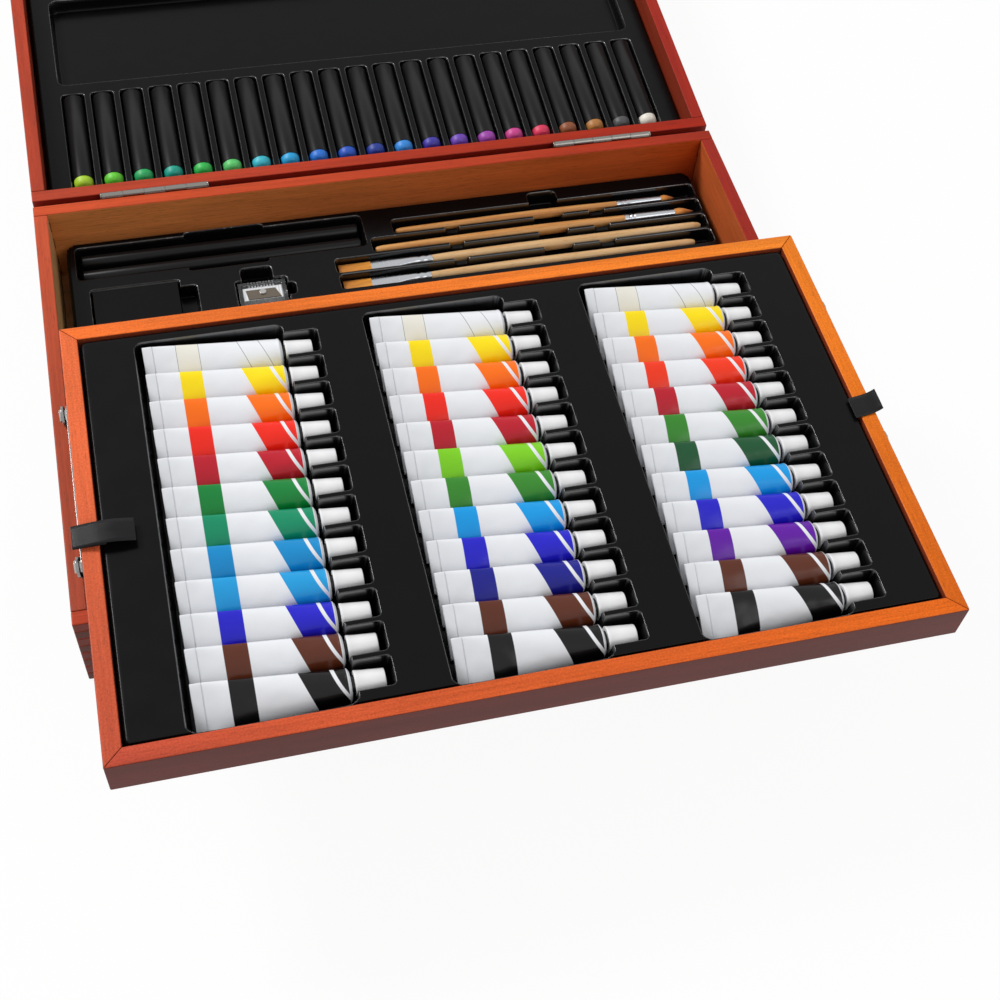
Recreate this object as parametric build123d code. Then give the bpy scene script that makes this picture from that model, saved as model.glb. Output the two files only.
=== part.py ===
from build123d import *

# Wooden art set box: a stained box with a hinged lid, a paint tray on swing arms, and its contents.
# The origin is the centre of the base's underside, +Z up, +X to the right and +Y to the hinge side.
# The box is drawn as it stands open: the lid lies back on its hinges and the tray is swung forward.

import os
from math import atan2, cos, degrees, hypot, pi, radians, sin

# Box, outside sizes in millimetres
box_width = 400.0
box_depth = 275.0
base_height = 52.0
lid_height = 30.0
wall = 7.5
panel_thickness = 3.0
panel_lap = 3.5
base_fingers = 8
lid_fingers = 5
closing_gap = 0.4

# Lid hinges
lid_open_angle = 175.0
hinge_place = 0.331
hinge_length = 59.0
hinge_knuckles = 5
knuckle_radius = 1.9
knuckle_standoff = 0.05
knuckle_gap = 0.25
leaf_thickness = 0.9
leaf_height = 13.0
hinge_pin_radius = 0.9
hinge_pin_clearance = 0.05
hinge_pin_flange = 0.8

# Formed black plastic inserts
sheet = 0.8
insert_clearance = 0.6
base_insert_corner = 8.0
lid_insert_depth = 13.0
tray_insert_depth = 2.5
insert_corner = 4.0
corner_facets = 3

# Paint tray and its swing arms
tray_side_room = 5.5
tray_end_room = 13.75
tray_height = 20.7
tray_rail = 8.0
tray_panel_lap = 4.0
tray_stowed_drop = 2.0
tray_floor_clearance = 0.5
tray_travel = 124.0
tray_rise = 59.0
tray_pivot_rear = 71.4
arm_spacing = 85.0
tray_pivot_drop = 10.0
base_pivot_drop = 24.0
arm_width = 9.0
arm_thickness = 1.2
arm_bracket = 1.0
bracket_half_height = 6.3
tray_strip = 1.0
strip_height = 9.0
rivet_radius = 1.5
rivet_clearance = 0.05
rivet_head_radius = 3.0
rivet_shoulder_radius = 2.6
rivet_sides = 8
side_clearance = 0.1
stop_radius_out = 13.0
stop_lug = 3.0
stop_clearance = 0.3

# Paint tubes, lying across the tray in three columns
tube_column_share = 0.294
tube_pitch = 16.74
tube_end_room = 15.0
tube_radius = 7.6
tube_body = 66.0
tube_crimp_width = 24.0
tube_crimp_thickness = 1.2
tube_crimp_length = 5.0
tube_crimp_tilt = 32.0
tube_shoulder = 1.8
tube_shoulder_radius = 6.6
tube_sides = 10
tube_lift = 0.3
tube_pocket_margin = 3.0
tube_row_centre = -2.5
cap_length = 14.0
cap_radius = 6.1
cap_end_radius = 4.9
cap_sides = 10
cap_seat_gap = 0.1
cap_notch_width = 13.2
cap_notch_room = 3.0
tooth_step = 1.5

# Oil pastels in the lid
pastel_pitch = 17.15
pastel_side_margin = 12.0
pastel_radius = 5.6
pastel_sides = 8
pastel_length = 70.0
pastel_sleeve = 0.3
pastel_sleeve_start = 6.0
pastel_from_hinge = 19.5
pastel_channel_width = 12.6
pastel_channel_depth = 9.6
pastel_end_room = 2.0
lid_well_depth = 8.0
lid_well_gap = 9.0
lid_well_margin = 14.0
lid_well_corner = 5.0

# Brushes: places across the base insert are shares of its width from the left end
brush_from_back = 18.0
brush_pitch = 12.8
brush_centre_drop = 27.9
brush_radius = 3.0
brush_channel_width = 10.2
brush_channel_end = 0.9936
brush_channel_depth = 8.4
brush_room = 1.5
finger_trough = (0.7235, 0.7688)
finger_trough_reach = 8.0
ridge_dips = ((0.5798, 0.6011), (0.8140, 0.8379))
ridge_dip_depth = 3.5
# Handle end, ferrule, hair, tip and how thick: two round brushes with tips to the right
round_brushes = ((0.5035, 0.8652, 0.9400, 0.9639, 0.83), (0.4650, 0.8690, 0.9530, 0.9860, 0.97))
# Tip, hair, ferrule, handle end and how thick: two flat ones with tips to the left
flat_brushes = ((0.4026, 0.4521, 0.5474, 0.9870, 1.07), (0.4042, 0.4468, 0.5386, 0.9667, 1.0))
flat_brush_width = 9.0
flat_brush_thickness = 2.4
hair_edge = 0.8
hair_inset = 0.6
tool_sides = 12

# Drawing sticks, eraser and sharpener in the base
stick_radius = 4.2
stick_span = (0.0237, 0.4454)
stick_from_back = 12.2
stick_pitch = 11.7
stick_end_room = 2.5
stick_side_room = 2.0
stick_pocket_depth = 10.0
stick_finger_span = (0.1807, 0.3004)
stick_finger_extra = 2.6
stick_finger_depth = 12.0
eraser_span = (0.0349, 0.1594)
eraser_from_back = 40.0
eraser_width = 31.5
eraser_sleeve_thickness = 0.4
eraser_bare_end = 5.0
sharpener_span = (0.2459, 0.3177)
sharpener_notch = (0.12, 0.75)
sharpener_from_back = 47.0
sharpener_width = 17.5
sharpener_thickness = 10.0
sharpener_wall = 1.6
sharpener_mouth = 4.0
blade_thickness = 0.6
blade_inset = 2.0
blade_offset = 0.5
screw_radius = 1.1
screw_clearance = 0.1
screw_head_radius = 2.0
screw_head_height = 0.6
item_clearance = 0.5
item_top_drop = 0.3
item_pocket_depth = 11.0
notch_reach = 10.0
notch_inset = 4.5
notch_depth = 8.0
storage_span = (0.1009, 0.8991)
storage_from_front = 19.5
storage_from_back = 91.5
storage_floor_clearance = 3.0
storage_corner = 12.0

# Ribbon pulls
ribbon_width = 12.0
ribbon_thickness = 0.4
ribbon_left_y = -5.0
ribbon_right_y = 0.0
ribbon_overhang = 3.2
ribbon_tuck = 3.0
ribbon_inner_end = 24.0
ribbon_arch = 3.2
ribbon_lift = 0.2

# Clasps on the front
clasp_place = 0.275
clasp_plate_width = 20.0
clasp_plate_height = 17.0
clasp_plate_thickness = 0.8
clasp_plate_from_rim = 2.0
clasp_corner = 2.0
clasp_pin_radius = 0.8
clasp_barrel_radius = 1.5
clasp_pin_standoff = 1.6
clasp_pin_from_rim = 3.5
clasp_barrel_width = 9.6
clasp_tongue_width = 14.0
clasp_tongue_length = 24.0
clasp_tongue_thickness = 1.0
clasp_tongue_neck = 2.5
clasp_stud_drop = 11.0
clasp_stud_radius = 2.0
clasp_stud_height = 2.2
clasp_stud_clearance = 0.5
clasp_keeper_height = 16.0
clasp_keeper_from_rim = 4.0

# Worked out from the sizes above
hinge_centre_x = box_width * hinge_place
clasp_centre_x = box_width * clasp_place
hinge_standoff = knuckle_radius + knuckle_standoff
hinge_axis_y = box_depth / 2 + hinge_standoff
hinge_axis_z = base_height + closing_gap / 2
inner_half_width = box_width / 2 - wall
inner_half_depth = box_depth / 2 - wall
tray_width = 2 * (inner_half_width - tray_side_room)
tray_depth = 2 * (inner_half_depth - tray_end_room)
tray_inner_depth = tray_depth - 2 * tray_rail
tray_stowed_top = base_height - tray_stowed_drop
tray_top = tray_stowed_top + tray_rise
stowed_pivot = (tray_pivot_rear, tray_stowed_top - tray_pivot_drop)
base_pivot_z = base_height - base_pivot_drop
middle = (stowed_pivot[0] - tray_travel / 2, stowed_pivot[1] + tray_rise / 2)
base_pivot_y = middle[0] - (middle[1] - base_pivot_z) * tray_rise / tray_travel
arm_length = hypot(stowed_pivot[0] - base_pivot_y, stowed_pivot[1] - base_pivot_z)
arm_stowed_angle = degrees(atan2(stowed_pivot[1] - base_pivot_z, stowed_pivot[0] - base_pivot_y))
arm_open_angle = degrees(
    atan2(stowed_pivot[1] + tray_rise - base_pivot_z, stowed_pivot[0] - tray_travel - base_pivot_y)
)
arm_swing = arm_open_angle - arm_stowed_angle
strip_face = tray_width / 2 + tray_strip
bracket_face = inner_half_width - arm_bracket
arm_middle_x = (strip_face + bracket_face) / 2
base_insert_half_width = strip_face - side_clearance
base_insert_top = tray_stowed_top - tray_height - tray_floor_clearance
tubes_per_column = int((tray_inner_depth - tube_end_room) / tube_pitch)
tube_pocket_depth = tray_height - panel_thickness - tray_insert_depth - sheet - side_clearance
pastel_count = int(2 * (inner_half_width - pastel_side_margin) / pastel_pitch)

parts = {}


def block(x0, x1, y0, y1, z0, z1):
    """A box between two opposite corners."""
    return Pos((x0 + x1) / 2, (y0 + y1) / 2, (z0 + z1) / 2) * Box(x1 - x0, y1 - y0, z1 - z0)


def rod_x(x0, x1, y, z, radius, sides=tool_sides):
    """A rod along X, round or with flats round it."""
    outline = RegularPolygon(radius, sides) if sides else Circle(radius)
    return Pos(x0, y, z) * Rot(0, 90, 0) * extrude(outline, x1 - x0)


def mirror_x(shape):
    """The same piece on the other side of the box."""
    return mirror(shape, about=Plane.YZ)


def group(solids):
    """Separate solids kept in one piece list."""
    return Compound([solid for shape in solids for solid in shape.solids()])


def lid_place(shape):
    """From the lid lying open and level to where it stops."""
    about = Pos(0, hinge_axis_y, hinge_axis_z)
    return about * Rot(180 - lid_open_angle, 0, 0) * about.inverse() * lid_level * shape


def tray_place(shape):
    """From the tray's own frame, its top's centre, to where the arms hold it when open."""
    return Pos(0, -tray_travel, tray_top) * shape


lid_level = Pos(0, box_depth + 2 * hinge_standoff, base_height - lid_height)


def box_walls(height, fingers):
    """Four walls with finger joints and a thin panel let into their lower edges."""
    half_width, half_depth = box_width / 2, box_depth / 2
    step = height / fingers
    back = block(-half_width, half_width, inner_half_depth, half_depth, 0, height)
    right = block(inner_half_width, half_width, -inner_half_depth, inner_half_depth, 0, height)
    for finger in range(1, fingers, 2):
        top = height - finger * step
        corner = block(inner_half_width, half_width, inner_half_depth, half_depth, top - step, top)
        back = back - corner - mirror_x(corner)
        right = right + corner + mirror(corner, about=Plane.XZ)
    reach_x, reach_y = inner_half_width + panel_lap, inner_half_depth + panel_lap
    panel = block(-reach_x, reach_x, -reach_y, reach_y, 0, panel_thickness)
    back, right = back - panel, right - panel
    return back, mirror(back, about=Plane.XZ), mirror_x(right), right, panel


def rounded_outline(width, depth, radius):
    """A rectangle with its corners rounded in a few flats."""
    half_x, half_y = width / 2 - radius, depth / 2 - radius
    points = []
    for turn, (side_x, side_y) in enumerate(((1, 1), (-1, 1), (-1, -1), (1, -1))):
        for step in range(corner_facets + 1):
            angle = pi / 2 * (turn + step / corner_facets)
            points.append((side_x * half_x + radius * cos(angle), side_y * half_y + radius * sin(angle)))
    return make_face(Polyline(*points, close=True))


def rounded_block(x0, x1, y0, y1, z0, z1, radius):
    """A box with upright corners rounded, or left square at no radius."""
    if radius <= 0:
        return block(x0, x1, y0, y1, z0, z1)
    return Pos((x0 + x1) / 2, (y0 + y1) / 2, z0) * extrude(rounded_outline(x1 - x0, y1 - y0, radius), z1 - z0)


def formed_insert(half_x, half_y, corner, top, skirt_to, pockets):
    """A sheet with tubs pressed down into it. A pocket is x0, x1, y0, y1, its depth and its corner."""
    shell = rounded_block(-half_x, half_x, -half_y, half_y, top - sheet, top, corner)
    if skirt_to is not None:
        skirt = rounded_block(-half_x, half_x, -half_y, half_y, skirt_to, top, corner)
        inside = rounded_block(sheet - half_x, half_x - sheet, sheet - half_y, half_y - sheet, skirt_to,
                               top - sheet, corner - sheet)
        shell = shell + (skirt - inside)
    tubs = []
    hollows = []
    for x0, x1, y0, y1, deep, radius in pockets:
        tubs.append(rounded_block(x0 - sheet, x1 + sheet, y0 - sheet, y1 + sheet,
                                  top - deep - sheet, top - sheet / 2, radius and radius + sheet))
        hollows.append(rounded_block(x0, x1, y0, y1, top - deep, top + sheet, radius))
    return (shell + tubs) - hollows


def make_base():
    """The lower box: five wooden pieces."""
    names = ("back", "front", "left", "right")
    *walls, panel = box_walls(base_height, base_fingers)
    for name, piece in zip(names, walls):
        parts[f"base_{name}_wall"] = piece
    parts["base_bottom_panel"] = panel


def make_lid():
    """The upper box: the same joints, lower walls."""
    names = ("back", "front", "left", "right")
    # Lying open, the wall at the hinge is the one nearest the base
    back, front, left, right, panel = box_walls(lid_height, lid_fingers)
    for name, piece in zip(names, (front, back, left, right)):
        parts[f"lid_{name}_wall"] = lid_place(piece)
    parts["lid_top_panel"] = lid_place(panel)


def hinge_knuckle_spans(which):
    """The lengths of barrel that belong to one leaf: even ones to the base, odd ones to the lid."""
    pitch = hinge_length / hinge_knuckles
    start = hinge_centre_x - hinge_length / 2
    return [(start + i * pitch + knuckle_gap / 2, start + (i + 1) * pitch - knuckle_gap / 2)
            for i in range(which, hinge_knuckles, 2)]


def hinge_leaf(own, other, side):
    """One leaf with its knuckles about the hinge axis, its plate hanging below the axis."""
    y_face = hinge_axis_y + side * hinge_standoff
    y_plate = y_face - side * leaf_thickness
    low, high = sorted((y_face, y_plate))
    start, end = hinge_centre_x - hinge_length / 2, hinge_centre_x + hinge_length / 2
    leaf = block(start, end, low, high, hinge_axis_z - leaf_height, hinge_axis_z)
    for x0, x1 in hinge_knuckle_spans(own):
        leaf = leaf + rod_x(x0, x1, hinge_axis_y, hinge_axis_z, knuckle_radius)
    reach = knuckle_radius + knuckle_gap
    for x0, x1 in hinge_knuckle_spans(other):
        leaf = leaf - block(x0 - knuckle_gap, x1 + knuckle_gap, low, high, hinge_axis_z - reach, hinge_axis_z)
    return leaf - rod_x(start, end, hinge_axis_y, hinge_axis_z, hinge_pin_radius + hinge_pin_clearance)


def make_hinges():
    """Two narrow butt hinges with five knuckles and a pin with flanged ends."""
    base_leaf = hinge_leaf(0, 1, -1)
    lid_leaf = hinge_leaf(1, 0, 1)
    start, end = hinge_centre_x - hinge_length / 2, hinge_centre_x + hinge_length / 2
    inscribed = hinge_pin_radius * cos(pi / tool_sides)
    pin = rod_x(start, end, hinge_axis_y, hinge_axis_z, inscribed, None)
    for x0 in (start - hinge_pin_flange, end):
        pin = pin + rod_x(x0, x0 + hinge_pin_flange, hinge_axis_y, hinge_axis_z, knuckle_radius)
    about = Pos(0, hinge_axis_y, hinge_axis_z)
    lid_leaf = about * Rot(180 - lid_open_angle, 0, 0) * about.inverse() * lid_leaf
    parts["hinge_leaves_base"] = group([base_leaf, mirror_x(base_leaf)])
    parts["hinge_leaves_lid"] = group([lid_leaf, mirror_x(lid_leaf)])
    parts["hinge_pins"] = group([pin, mirror_x(pin)])


def insert_x(share):
    """A place across the base insert, as a share of its width from the left."""
    return (2 * share - 1) * base_insert_half_width


def from_back(distance):
    """A place in the base, measured from the inner face of its back wall."""
    return inner_half_depth - distance


def brush_row_y(row):
    """The middle line of a brush."""
    return from_back(brush_from_back + row * brush_pitch)


def eraser_bounds():
    """The eraser's place, as x0, x1, y0, y1."""
    left, right = (insert_x(share) for share in eraser_span)
    return left, right, from_back(eraser_from_back + eraser_width), from_back(eraser_from_back)


def sharpener_bounds():
    """The sharpener's place, as x0, x1, y0, y1."""
    left, right = (insert_x(share) for share in sharpener_span)
    return left, right, from_back(sharpener_from_back + sharpener_width), from_back(sharpener_from_back)


def stick_pockets():
    """The pocket for the drawing sticks and the wider finger well across it."""
    side = stick_radius + stick_side_room
    near, far = from_back(stick_from_back + stick_pitch) - side, from_back(stick_from_back) + side
    left, right = (insert_x(share) for share in stick_span)
    well_left, well_right = (insert_x(share) for share in stick_finger_span)
    return [(left - stick_end_room, right + stick_end_room, near, far, stick_pocket_depth, 0),
            (well_left, well_right, near - stick_finger_extra, far + stick_finger_extra, stick_finger_depth, 0)]


def make_base_insert():
    """The black insert with a place for each tool and a well under the tray."""
    half = brush_channel_width / 2
    pockets = stick_pockets()
    lefts = [brush[0] for brush in round_brushes + flat_brushes]
    for row, left in enumerate(lefts):
        y = brush_row_y(row)
        pockets.append((insert_x(left) - brush_room, insert_x(brush_channel_end), y - half, y + half,
                        brush_channel_depth, 0))
    near, far = brush_row_y(len(lefts) - 1) - half, brush_row_y(0) + half
    pockets.append((insert_x(finger_trough[0]), insert_x(finger_trough[1]), near, far + finger_trough_reach,
                    brush_channel_depth, 0))
    for start, end in ridge_dips:
        pockets.append((insert_x(start), insert_x(end), near, far, ridge_dip_depth, 0))
    for (x0, x1, y0, y1), reach in ((eraser_bounds(), notch_reach), (sharpener_bounds(), notch_reach / 2)):
        pockets.append((x0 - item_clearance, x1 + item_clearance, y0 - item_clearance,
                        y1 + item_clearance, item_pocket_depth, 0))
        pockets.append((x1 + item_clearance - sheet, x1 + reach, y0 + notch_inset, y1 - notch_inset,
                        notch_depth, 0))
    x0, x1, _, y1 = sharpener_bounds()
    start, end = (x0 + share * (x1 - x0) for share in sharpener_notch)
    pockets.append((start, end, y1 + item_clearance - sheet, y1 + notch_reach, notch_depth, 0))
    storage_depth = base_insert_top - panel_thickness - sheet - storage_floor_clearance
    pockets.append((insert_x(storage_span[0]), insert_x(storage_span[1]),
                    storage_from_front - inner_half_depth, from_back(storage_from_back),
                    storage_depth, storage_corner))
    parts["base_insert"] = formed_insert(base_insert_half_width, inner_half_depth - insert_clearance,
                                         base_insert_corner, base_insert_top, panel_thickness, pockets)


def ring_points(x, radius, sides, y, z):
    """Points round a place on a piece that lies along X."""
    turns = [2 * pi * (i + 0.5) / sides for i in range(sides)]
    return [Vector(x, y + radius * cos(turn), z + radius * sin(turn)) for turn in turns]


def turned(profile, y, z, sides=tool_sides):
    """A slim turned piece along X from (x, radius) points, swelling once and with small flats round it."""
    return ConvexPolyhedron([point for x, radius in profile for point in ring_points(x, radius, sides, y, z)])


def pressed_body(width, thickness, tilt, flat_x, profile, sides, y, z):
    """A turned piece along X whose other end is pressed flat and turned by a tilt."""
    points = [point for x, radius in profile for point in ring_points(x, radius, sides, y, z)]
    along = Vector(0, cos(radians(tilt)), sin(radians(tilt))) * (width / 2)
    up = Vector(0, -sin(radians(tilt)), cos(radians(tilt))) * (thickness / 2)
    for side, face in ((-1, -1), (-1, 1), (1, 1), (1, -1)):
        points.append(Vector(flat_x, y, z) + along * side + up * face)
    return ConvexPolyhedron(points)


def make_brushes():
    """Two round brushes with their tips to the right and two flat ones with theirs to the left."""
    handles, ferrules, bristles = [], [], []
    z = base_height - brush_centre_drop
    for row, (*places, thick) in enumerate(round_brushes):
        left, ferrule_x, hair_x, tip = (insert_x(place) for place in places)
        y, radius, long, hair = brush_row_y(row), brush_radius * thick, ferrule_x - left, tip - hair_x
        handles.append(turned([(left, 0.35 * radius), (left + 0.02 * long, 0.7 * radius),
                               (left + 0.65 * long, 1.15 * radius), (ferrule_x, 0.9 * radius)], y, z))
        ferrules.append(turned([(ferrule_x, radius), (hair_x, 0.9 * radius)], y, z))
        bristles.append(turned([(hair_x, 0.8 * radius), (hair_x + 0.3 * hair, 0.95 * radius),
                                (hair_x + 0.75 * hair, 0.45 * radius), (tip, 0.05 * radius)], y, z))
    for row, (*places, thick) in enumerate(flat_brushes, len(round_brushes)):
        tip, hair_x, ferrule_x, right = (insert_x(place) for place in places)
        y, radius, long = brush_row_y(row), brush_radius * thick, right - ferrule_x
        handles.append(turned([(ferrule_x, 0.87 * radius), (ferrule_x + 0.3 * long, 1.12 * radius),
                               (right - 0.02 * long, 0.87 * radius), (right, 0.4 * radius)], y, z))
        ferrules.append(pressed_body(flat_brush_width, flat_brush_thickness, 0, hair_x,
                                     [(ferrule_x, radius)], tool_sides, y, z))
        inner, outer = (flat_brush_width - 2 * hair_inset) / 2, (flat_brush_width - hair_inset) / 2
        corners = [(hair_x, inner, (flat_brush_thickness - hair_inset) / 2), (tip, outer, hair_edge / 2)]
        bristles.append(ConvexPolyhedron([Vector(x, y + side * wide, z + face * thin)
                                          for x, wide, thin in corners for side in (-1, 1) for face in (-1, 1)]))
    parts["brush_handles"] = group(handles)
    parts["brush_ferrules"] = group(ferrules)
    parts["brush_bristles"] = group(bristles)


def make_drawing_tools():
    """Two round drawing sticks, an eraser in a card sleeve and a sharpener in a clear case."""
    rest = base_insert_top - stick_pocket_depth + stick_radius
    left, right = (insert_x(share) for share in stick_span)
    parts["drawing_sticks"] = group(
        rod_x(left, right, from_back(stick_from_back + row * stick_pitch), rest, stick_radius) for row in (0, 1))

    floor = base_insert_top - item_pocket_depth
    x0, x1, y0, y1 = eraser_bounds()
    skin, top = eraser_sleeve_thickness, base_insert_top - item_top_drop
    rubber = block(x0 + skin, x1 - skin, y0, y1, floor + skin, top - skin)
    wrap = block(x0, x1, y0 + eraser_bare_end, y1, floor, top)
    parts["eraser_block"] = rubber
    parts["eraser_sleeve"] = wrap - rubber

    x0, x1, y0, y1 = sharpener_bounds()
    top, middle_y, middle_z = floor + sharpener_thickness, (y0 + y1) / 2, floor + sharpener_thickness / 2
    hollow = turned([(x0 + sharpener_wall, sharpener_mouth / 4), (x1 + sharpener_wall, sharpener_mouth)],
                    middle_y, middle_z)
    seat = block(x0 + blade_inset, x1 - blade_inset, y0 + blade_inset + sharpener_wall, y1 - blade_inset,
                 top - blade_thickness, top)
    screw_x, screw_y = (x0 + x1) / 2, middle_y + blade_offset
    hole = Pos(screw_x, screw_y, top - blade_thickness) * extrude(
        RegularPolygon(screw_radius + screw_clearance, rivet_sides), 2 * blade_thickness)
    parts["sharpener_housing"] = block(x0, x1, y0, y1, floor, top) - hollow - seat
    parts["sharpener_blade"] = seat - hole
    at = Pos(screw_x, screw_y, top - blade_thickness)
    screw = at * extrude(RegularPolygon(screw_radius, rivet_sides), blade_thickness)
    head = Pos(screw_x, screw_y, top) * extrude(RegularPolygon(screw_head_radius, rivet_sides), screw_head_height)
    parts["sharpener_screw"] = screw + head


def make_lid_insert():
    """The lid's insert: one row of pastel channels at the hinge side and two long wells."""
    pockets = []
    start = pastel_from_hinge - pastel_end_room - box_depth / 2
    end = start + pastel_length + 2 * pastel_end_room
    half = pastel_channel_width / 2
    for i in range(pastel_count):
        x = (i - (pastel_count - 1) / 2) * pastel_pitch
        pockets.append((x - half, x + half, start, end, pastel_channel_depth, 0))
    far = inner_half_depth - lid_well_margin
    well = (far - end - 2 * lid_well_gap) / 2
    half_width = inner_half_width - lid_well_margin
    for y0 in (end + lid_well_gap, far - well):
        pockets.append((-half_width, half_width, y0, y0 + well, lid_well_depth, lid_well_corner))
    parts["lid_insert"] = lid_place(formed_insert(
        inner_half_width - insert_clearance, inner_half_depth - insert_clearance,
        insert_corner, lid_height - lid_insert_depth, panel_thickness, pockets))


def make_pastels():
    """A row of oil pastels, each in a paper sleeve that leaves its tip bare at the hinge side."""
    sticks, sleeves = [], []
    floor = lid_height - lid_insert_depth - pastel_channel_depth
    start = pastel_from_hinge - box_depth / 2
    outer = pastel_radius + pastel_sleeve
    stick = extrude(RegularPolygon(pastel_radius, pastel_sides), pastel_sleeve_start)
    wrap = extrude(RegularPolygon(outer, pastel_sides), pastel_length - pastel_sleeve_start)
    for i in range(pastel_count):
        at = Pos((i - (pastel_count - 1) / 2) * pastel_pitch, start, floor + outer) * Rot(-90, 0, 0)
        sticks.append(lid_place(at * stick))
        sleeves.append(lid_place(at * Pos(0, 0, pastel_sleeve_start) * wrap))
    parts["pastel_sticks"] = group(sticks)
    parts["pastel_sleeves"] = group(sleeves)


def make_tray():
    """Four mitred rails and a panel let into their lower edges."""
    x, y = tray_width / 2, tray_depth / 2
    inner_x, inner_y = x - tray_rail, y - tray_rail
    panel_x, panel_y = inner_x + tray_panel_lap, inner_y + tray_panel_lap
    panel = block(-panel_x, panel_x, -panel_y, panel_y, -tray_height, panel_thickness - tray_height)
    back = Polyline((-x, y), (x, y), (inner_x, inner_y), (-inner_x, inner_y), close=True)
    right = Polyline((x, y), (x, -y), (inner_x, -inner_y), (inner_x, inner_y), close=True)
    back_rail = extrude(Pos(0, 0, -tray_height) * make_face(back), tray_height, dir=(0, 0, 1)) - panel
    right_rail = extrude(Pos(0, 0, -tray_height) * make_face(right), tray_height, dir=(0, 0, 1)) - panel
    parts["tray_back_rail"] = tray_place(back_rail)
    parts["tray_front_rail"] = tray_place(mirror(back_rail, about=Plane.XZ))
    parts["tray_left_rail"] = tray_place(mirror_x(right_rail))
    parts["tray_right_rail"] = tray_place(right_rail)
    parts["tray_bottom_panel"] = tray_place(panel)


def tube_y(row):
    """The middle line of a tube, counted from the back."""
    return tube_row_centre + ((tubes_per_column - 1) / 2 - row) * tube_pitch


def tube_column_left(column):
    """Where a column's tubes start, counted from the left."""
    return (column - 1) * tube_column_share * tray_width - (tube_body + cap_length) / 2


def make_tray_insert():
    """Three pockets, each with a notch for every cap and teeth between them."""
    pockets = []
    back = tube_y(0) + tube_crimp_width / 2
    front = tube_y(tubes_per_column - 1) - tube_crimp_width / 2
    for column in range(3):
        left = tube_column_left(column)
        shoulder = left + tube_body
        pockets.append((left - tube_pocket_margin, shoulder + sheet, front, back, tube_pocket_depth, 0))
        for row in range(tubes_per_column):
            y, half = tube_y(row), cap_notch_width / 2
            pockets.append((shoulder - tooth_step, shoulder + cap_length + cap_notch_room, y - half, y + half,
                            tube_pocket_depth, 0))
    parts["tray_insert"] = tray_place(formed_insert(
        tray_width / 2 - tray_rail - insert_clearance, tray_inner_depth / 2 - insert_clearance,
        insert_corner, -tray_insert_depth, None, pockets))


def paint_tube():
    """A tube along X: round at the shoulder, pressed flat at the crimp, which is tilted like a shingle."""
    tilt = Plane((0, 0, 0), x_dir=(0, cos(radians(tube_crimp_tilt)), sin(radians(tube_crimp_tilt))),
                 z_dir=(1, 0, 0))
    crimp = extrude(tilt * Rectangle(tube_crimp_width, tube_crimp_thickness), tube_crimp_length)
    profile = [(tube_body - tube_shoulder, tube_radius), (tube_body, tube_shoulder_radius)]
    body = pressed_body(tube_crimp_width, tube_crimp_thickness, tube_crimp_tilt, tube_crimp_length,
                        profile, tube_sides, 0, 0)
    return crimp + body


def tube_cap():
    """A tapered cap on the tube's neck, wide end at the tube."""
    return turned([(tube_body + cap_seat_gap, cap_radius), (tube_body + cap_length, cap_end_radius)],
                  0, 0, cap_sides)


def make_tubes():
    """Twelve paint tubes and their caps in each column."""
    tube, cap = paint_tube(), tube_cap()
    z = tube_radius + tube_lift - tube_pocket_depth - tray_insert_depth
    for column, name in enumerate(("left", "middle", "right")):
        places = [Pos(tube_column_left(column), tube_y(row), z) for row in range(tubes_per_column)]
        parts[f"paint_tubes_{name}"] = tray_place(group([place * tube for place in places]))
        parts[f"tube_caps_{name}"] = tray_place(group([place * cap for place in places]))


def strip_shape(points, thickness):
    """The closed outline of a thin strip that follows the points, thick on its left side."""
    upper = []
    for i, (px, pz) in enumerate(points):
        ax, az = points[max(i - 1, 0)]
        bx, bz = points[min(i + 1, len(points) - 1)]
        length = hypot(bx - ax, bz - az)
        upper.append((px - (bz - az) / length * thickness, pz + (bx - ax) / length * thickness))
    return make_face(Polyline(*points, *reversed(upper), close=True))


def make_ribbons():
    """Two satin pull tabs: the left one folded back over the tray, the right one lying outwards."""
    x = tray_width / 2
    inside = x - tray_rail - ribbon_tuck
    over = ribbon_lift + 2 * ribbon_thickness
    outer = x + ribbon_overhang
    folded = [(inside, ribbon_lift), (outer, ribbon_lift), (outer + ribbon_thickness, (ribbon_lift + over) / 2),
              (outer, over), (x - 0.25 * ribbon_inner_end, ribbon_arch),
              (x - 0.65 * ribbon_inner_end, 1.2 * ribbon_arch), (x - ribbon_inner_end, 0.65 * ribbon_arch)]
    left = extrude(Plane.XZ * strip_shape(folded, ribbon_thickness), ribbon_width / 2, both=True)
    lying = [(inside, ribbon_lift), (x - ribbon_tuck, 2 * ribbon_lift), (outer, 0.75 * ribbon_arch)]
    right = extrude(Plane.XZ * strip_shape(lying, ribbon_thickness), ribbon_width / 2, both=True)
    parts["ribbon_pull_left"] = tray_place(Pos(0, ribbon_left_y, 0) * mirror_x(left))
    parts["ribbon_pull_right"] = tray_place(Pos(0, ribbon_right_y, 0) * right)


def arm_point(angle, distance):
    """A place seen from an arm's lower pivot, in Y and Z."""
    return distance * cos(radians(angle)), distance * sin(radians(angle))


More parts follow.
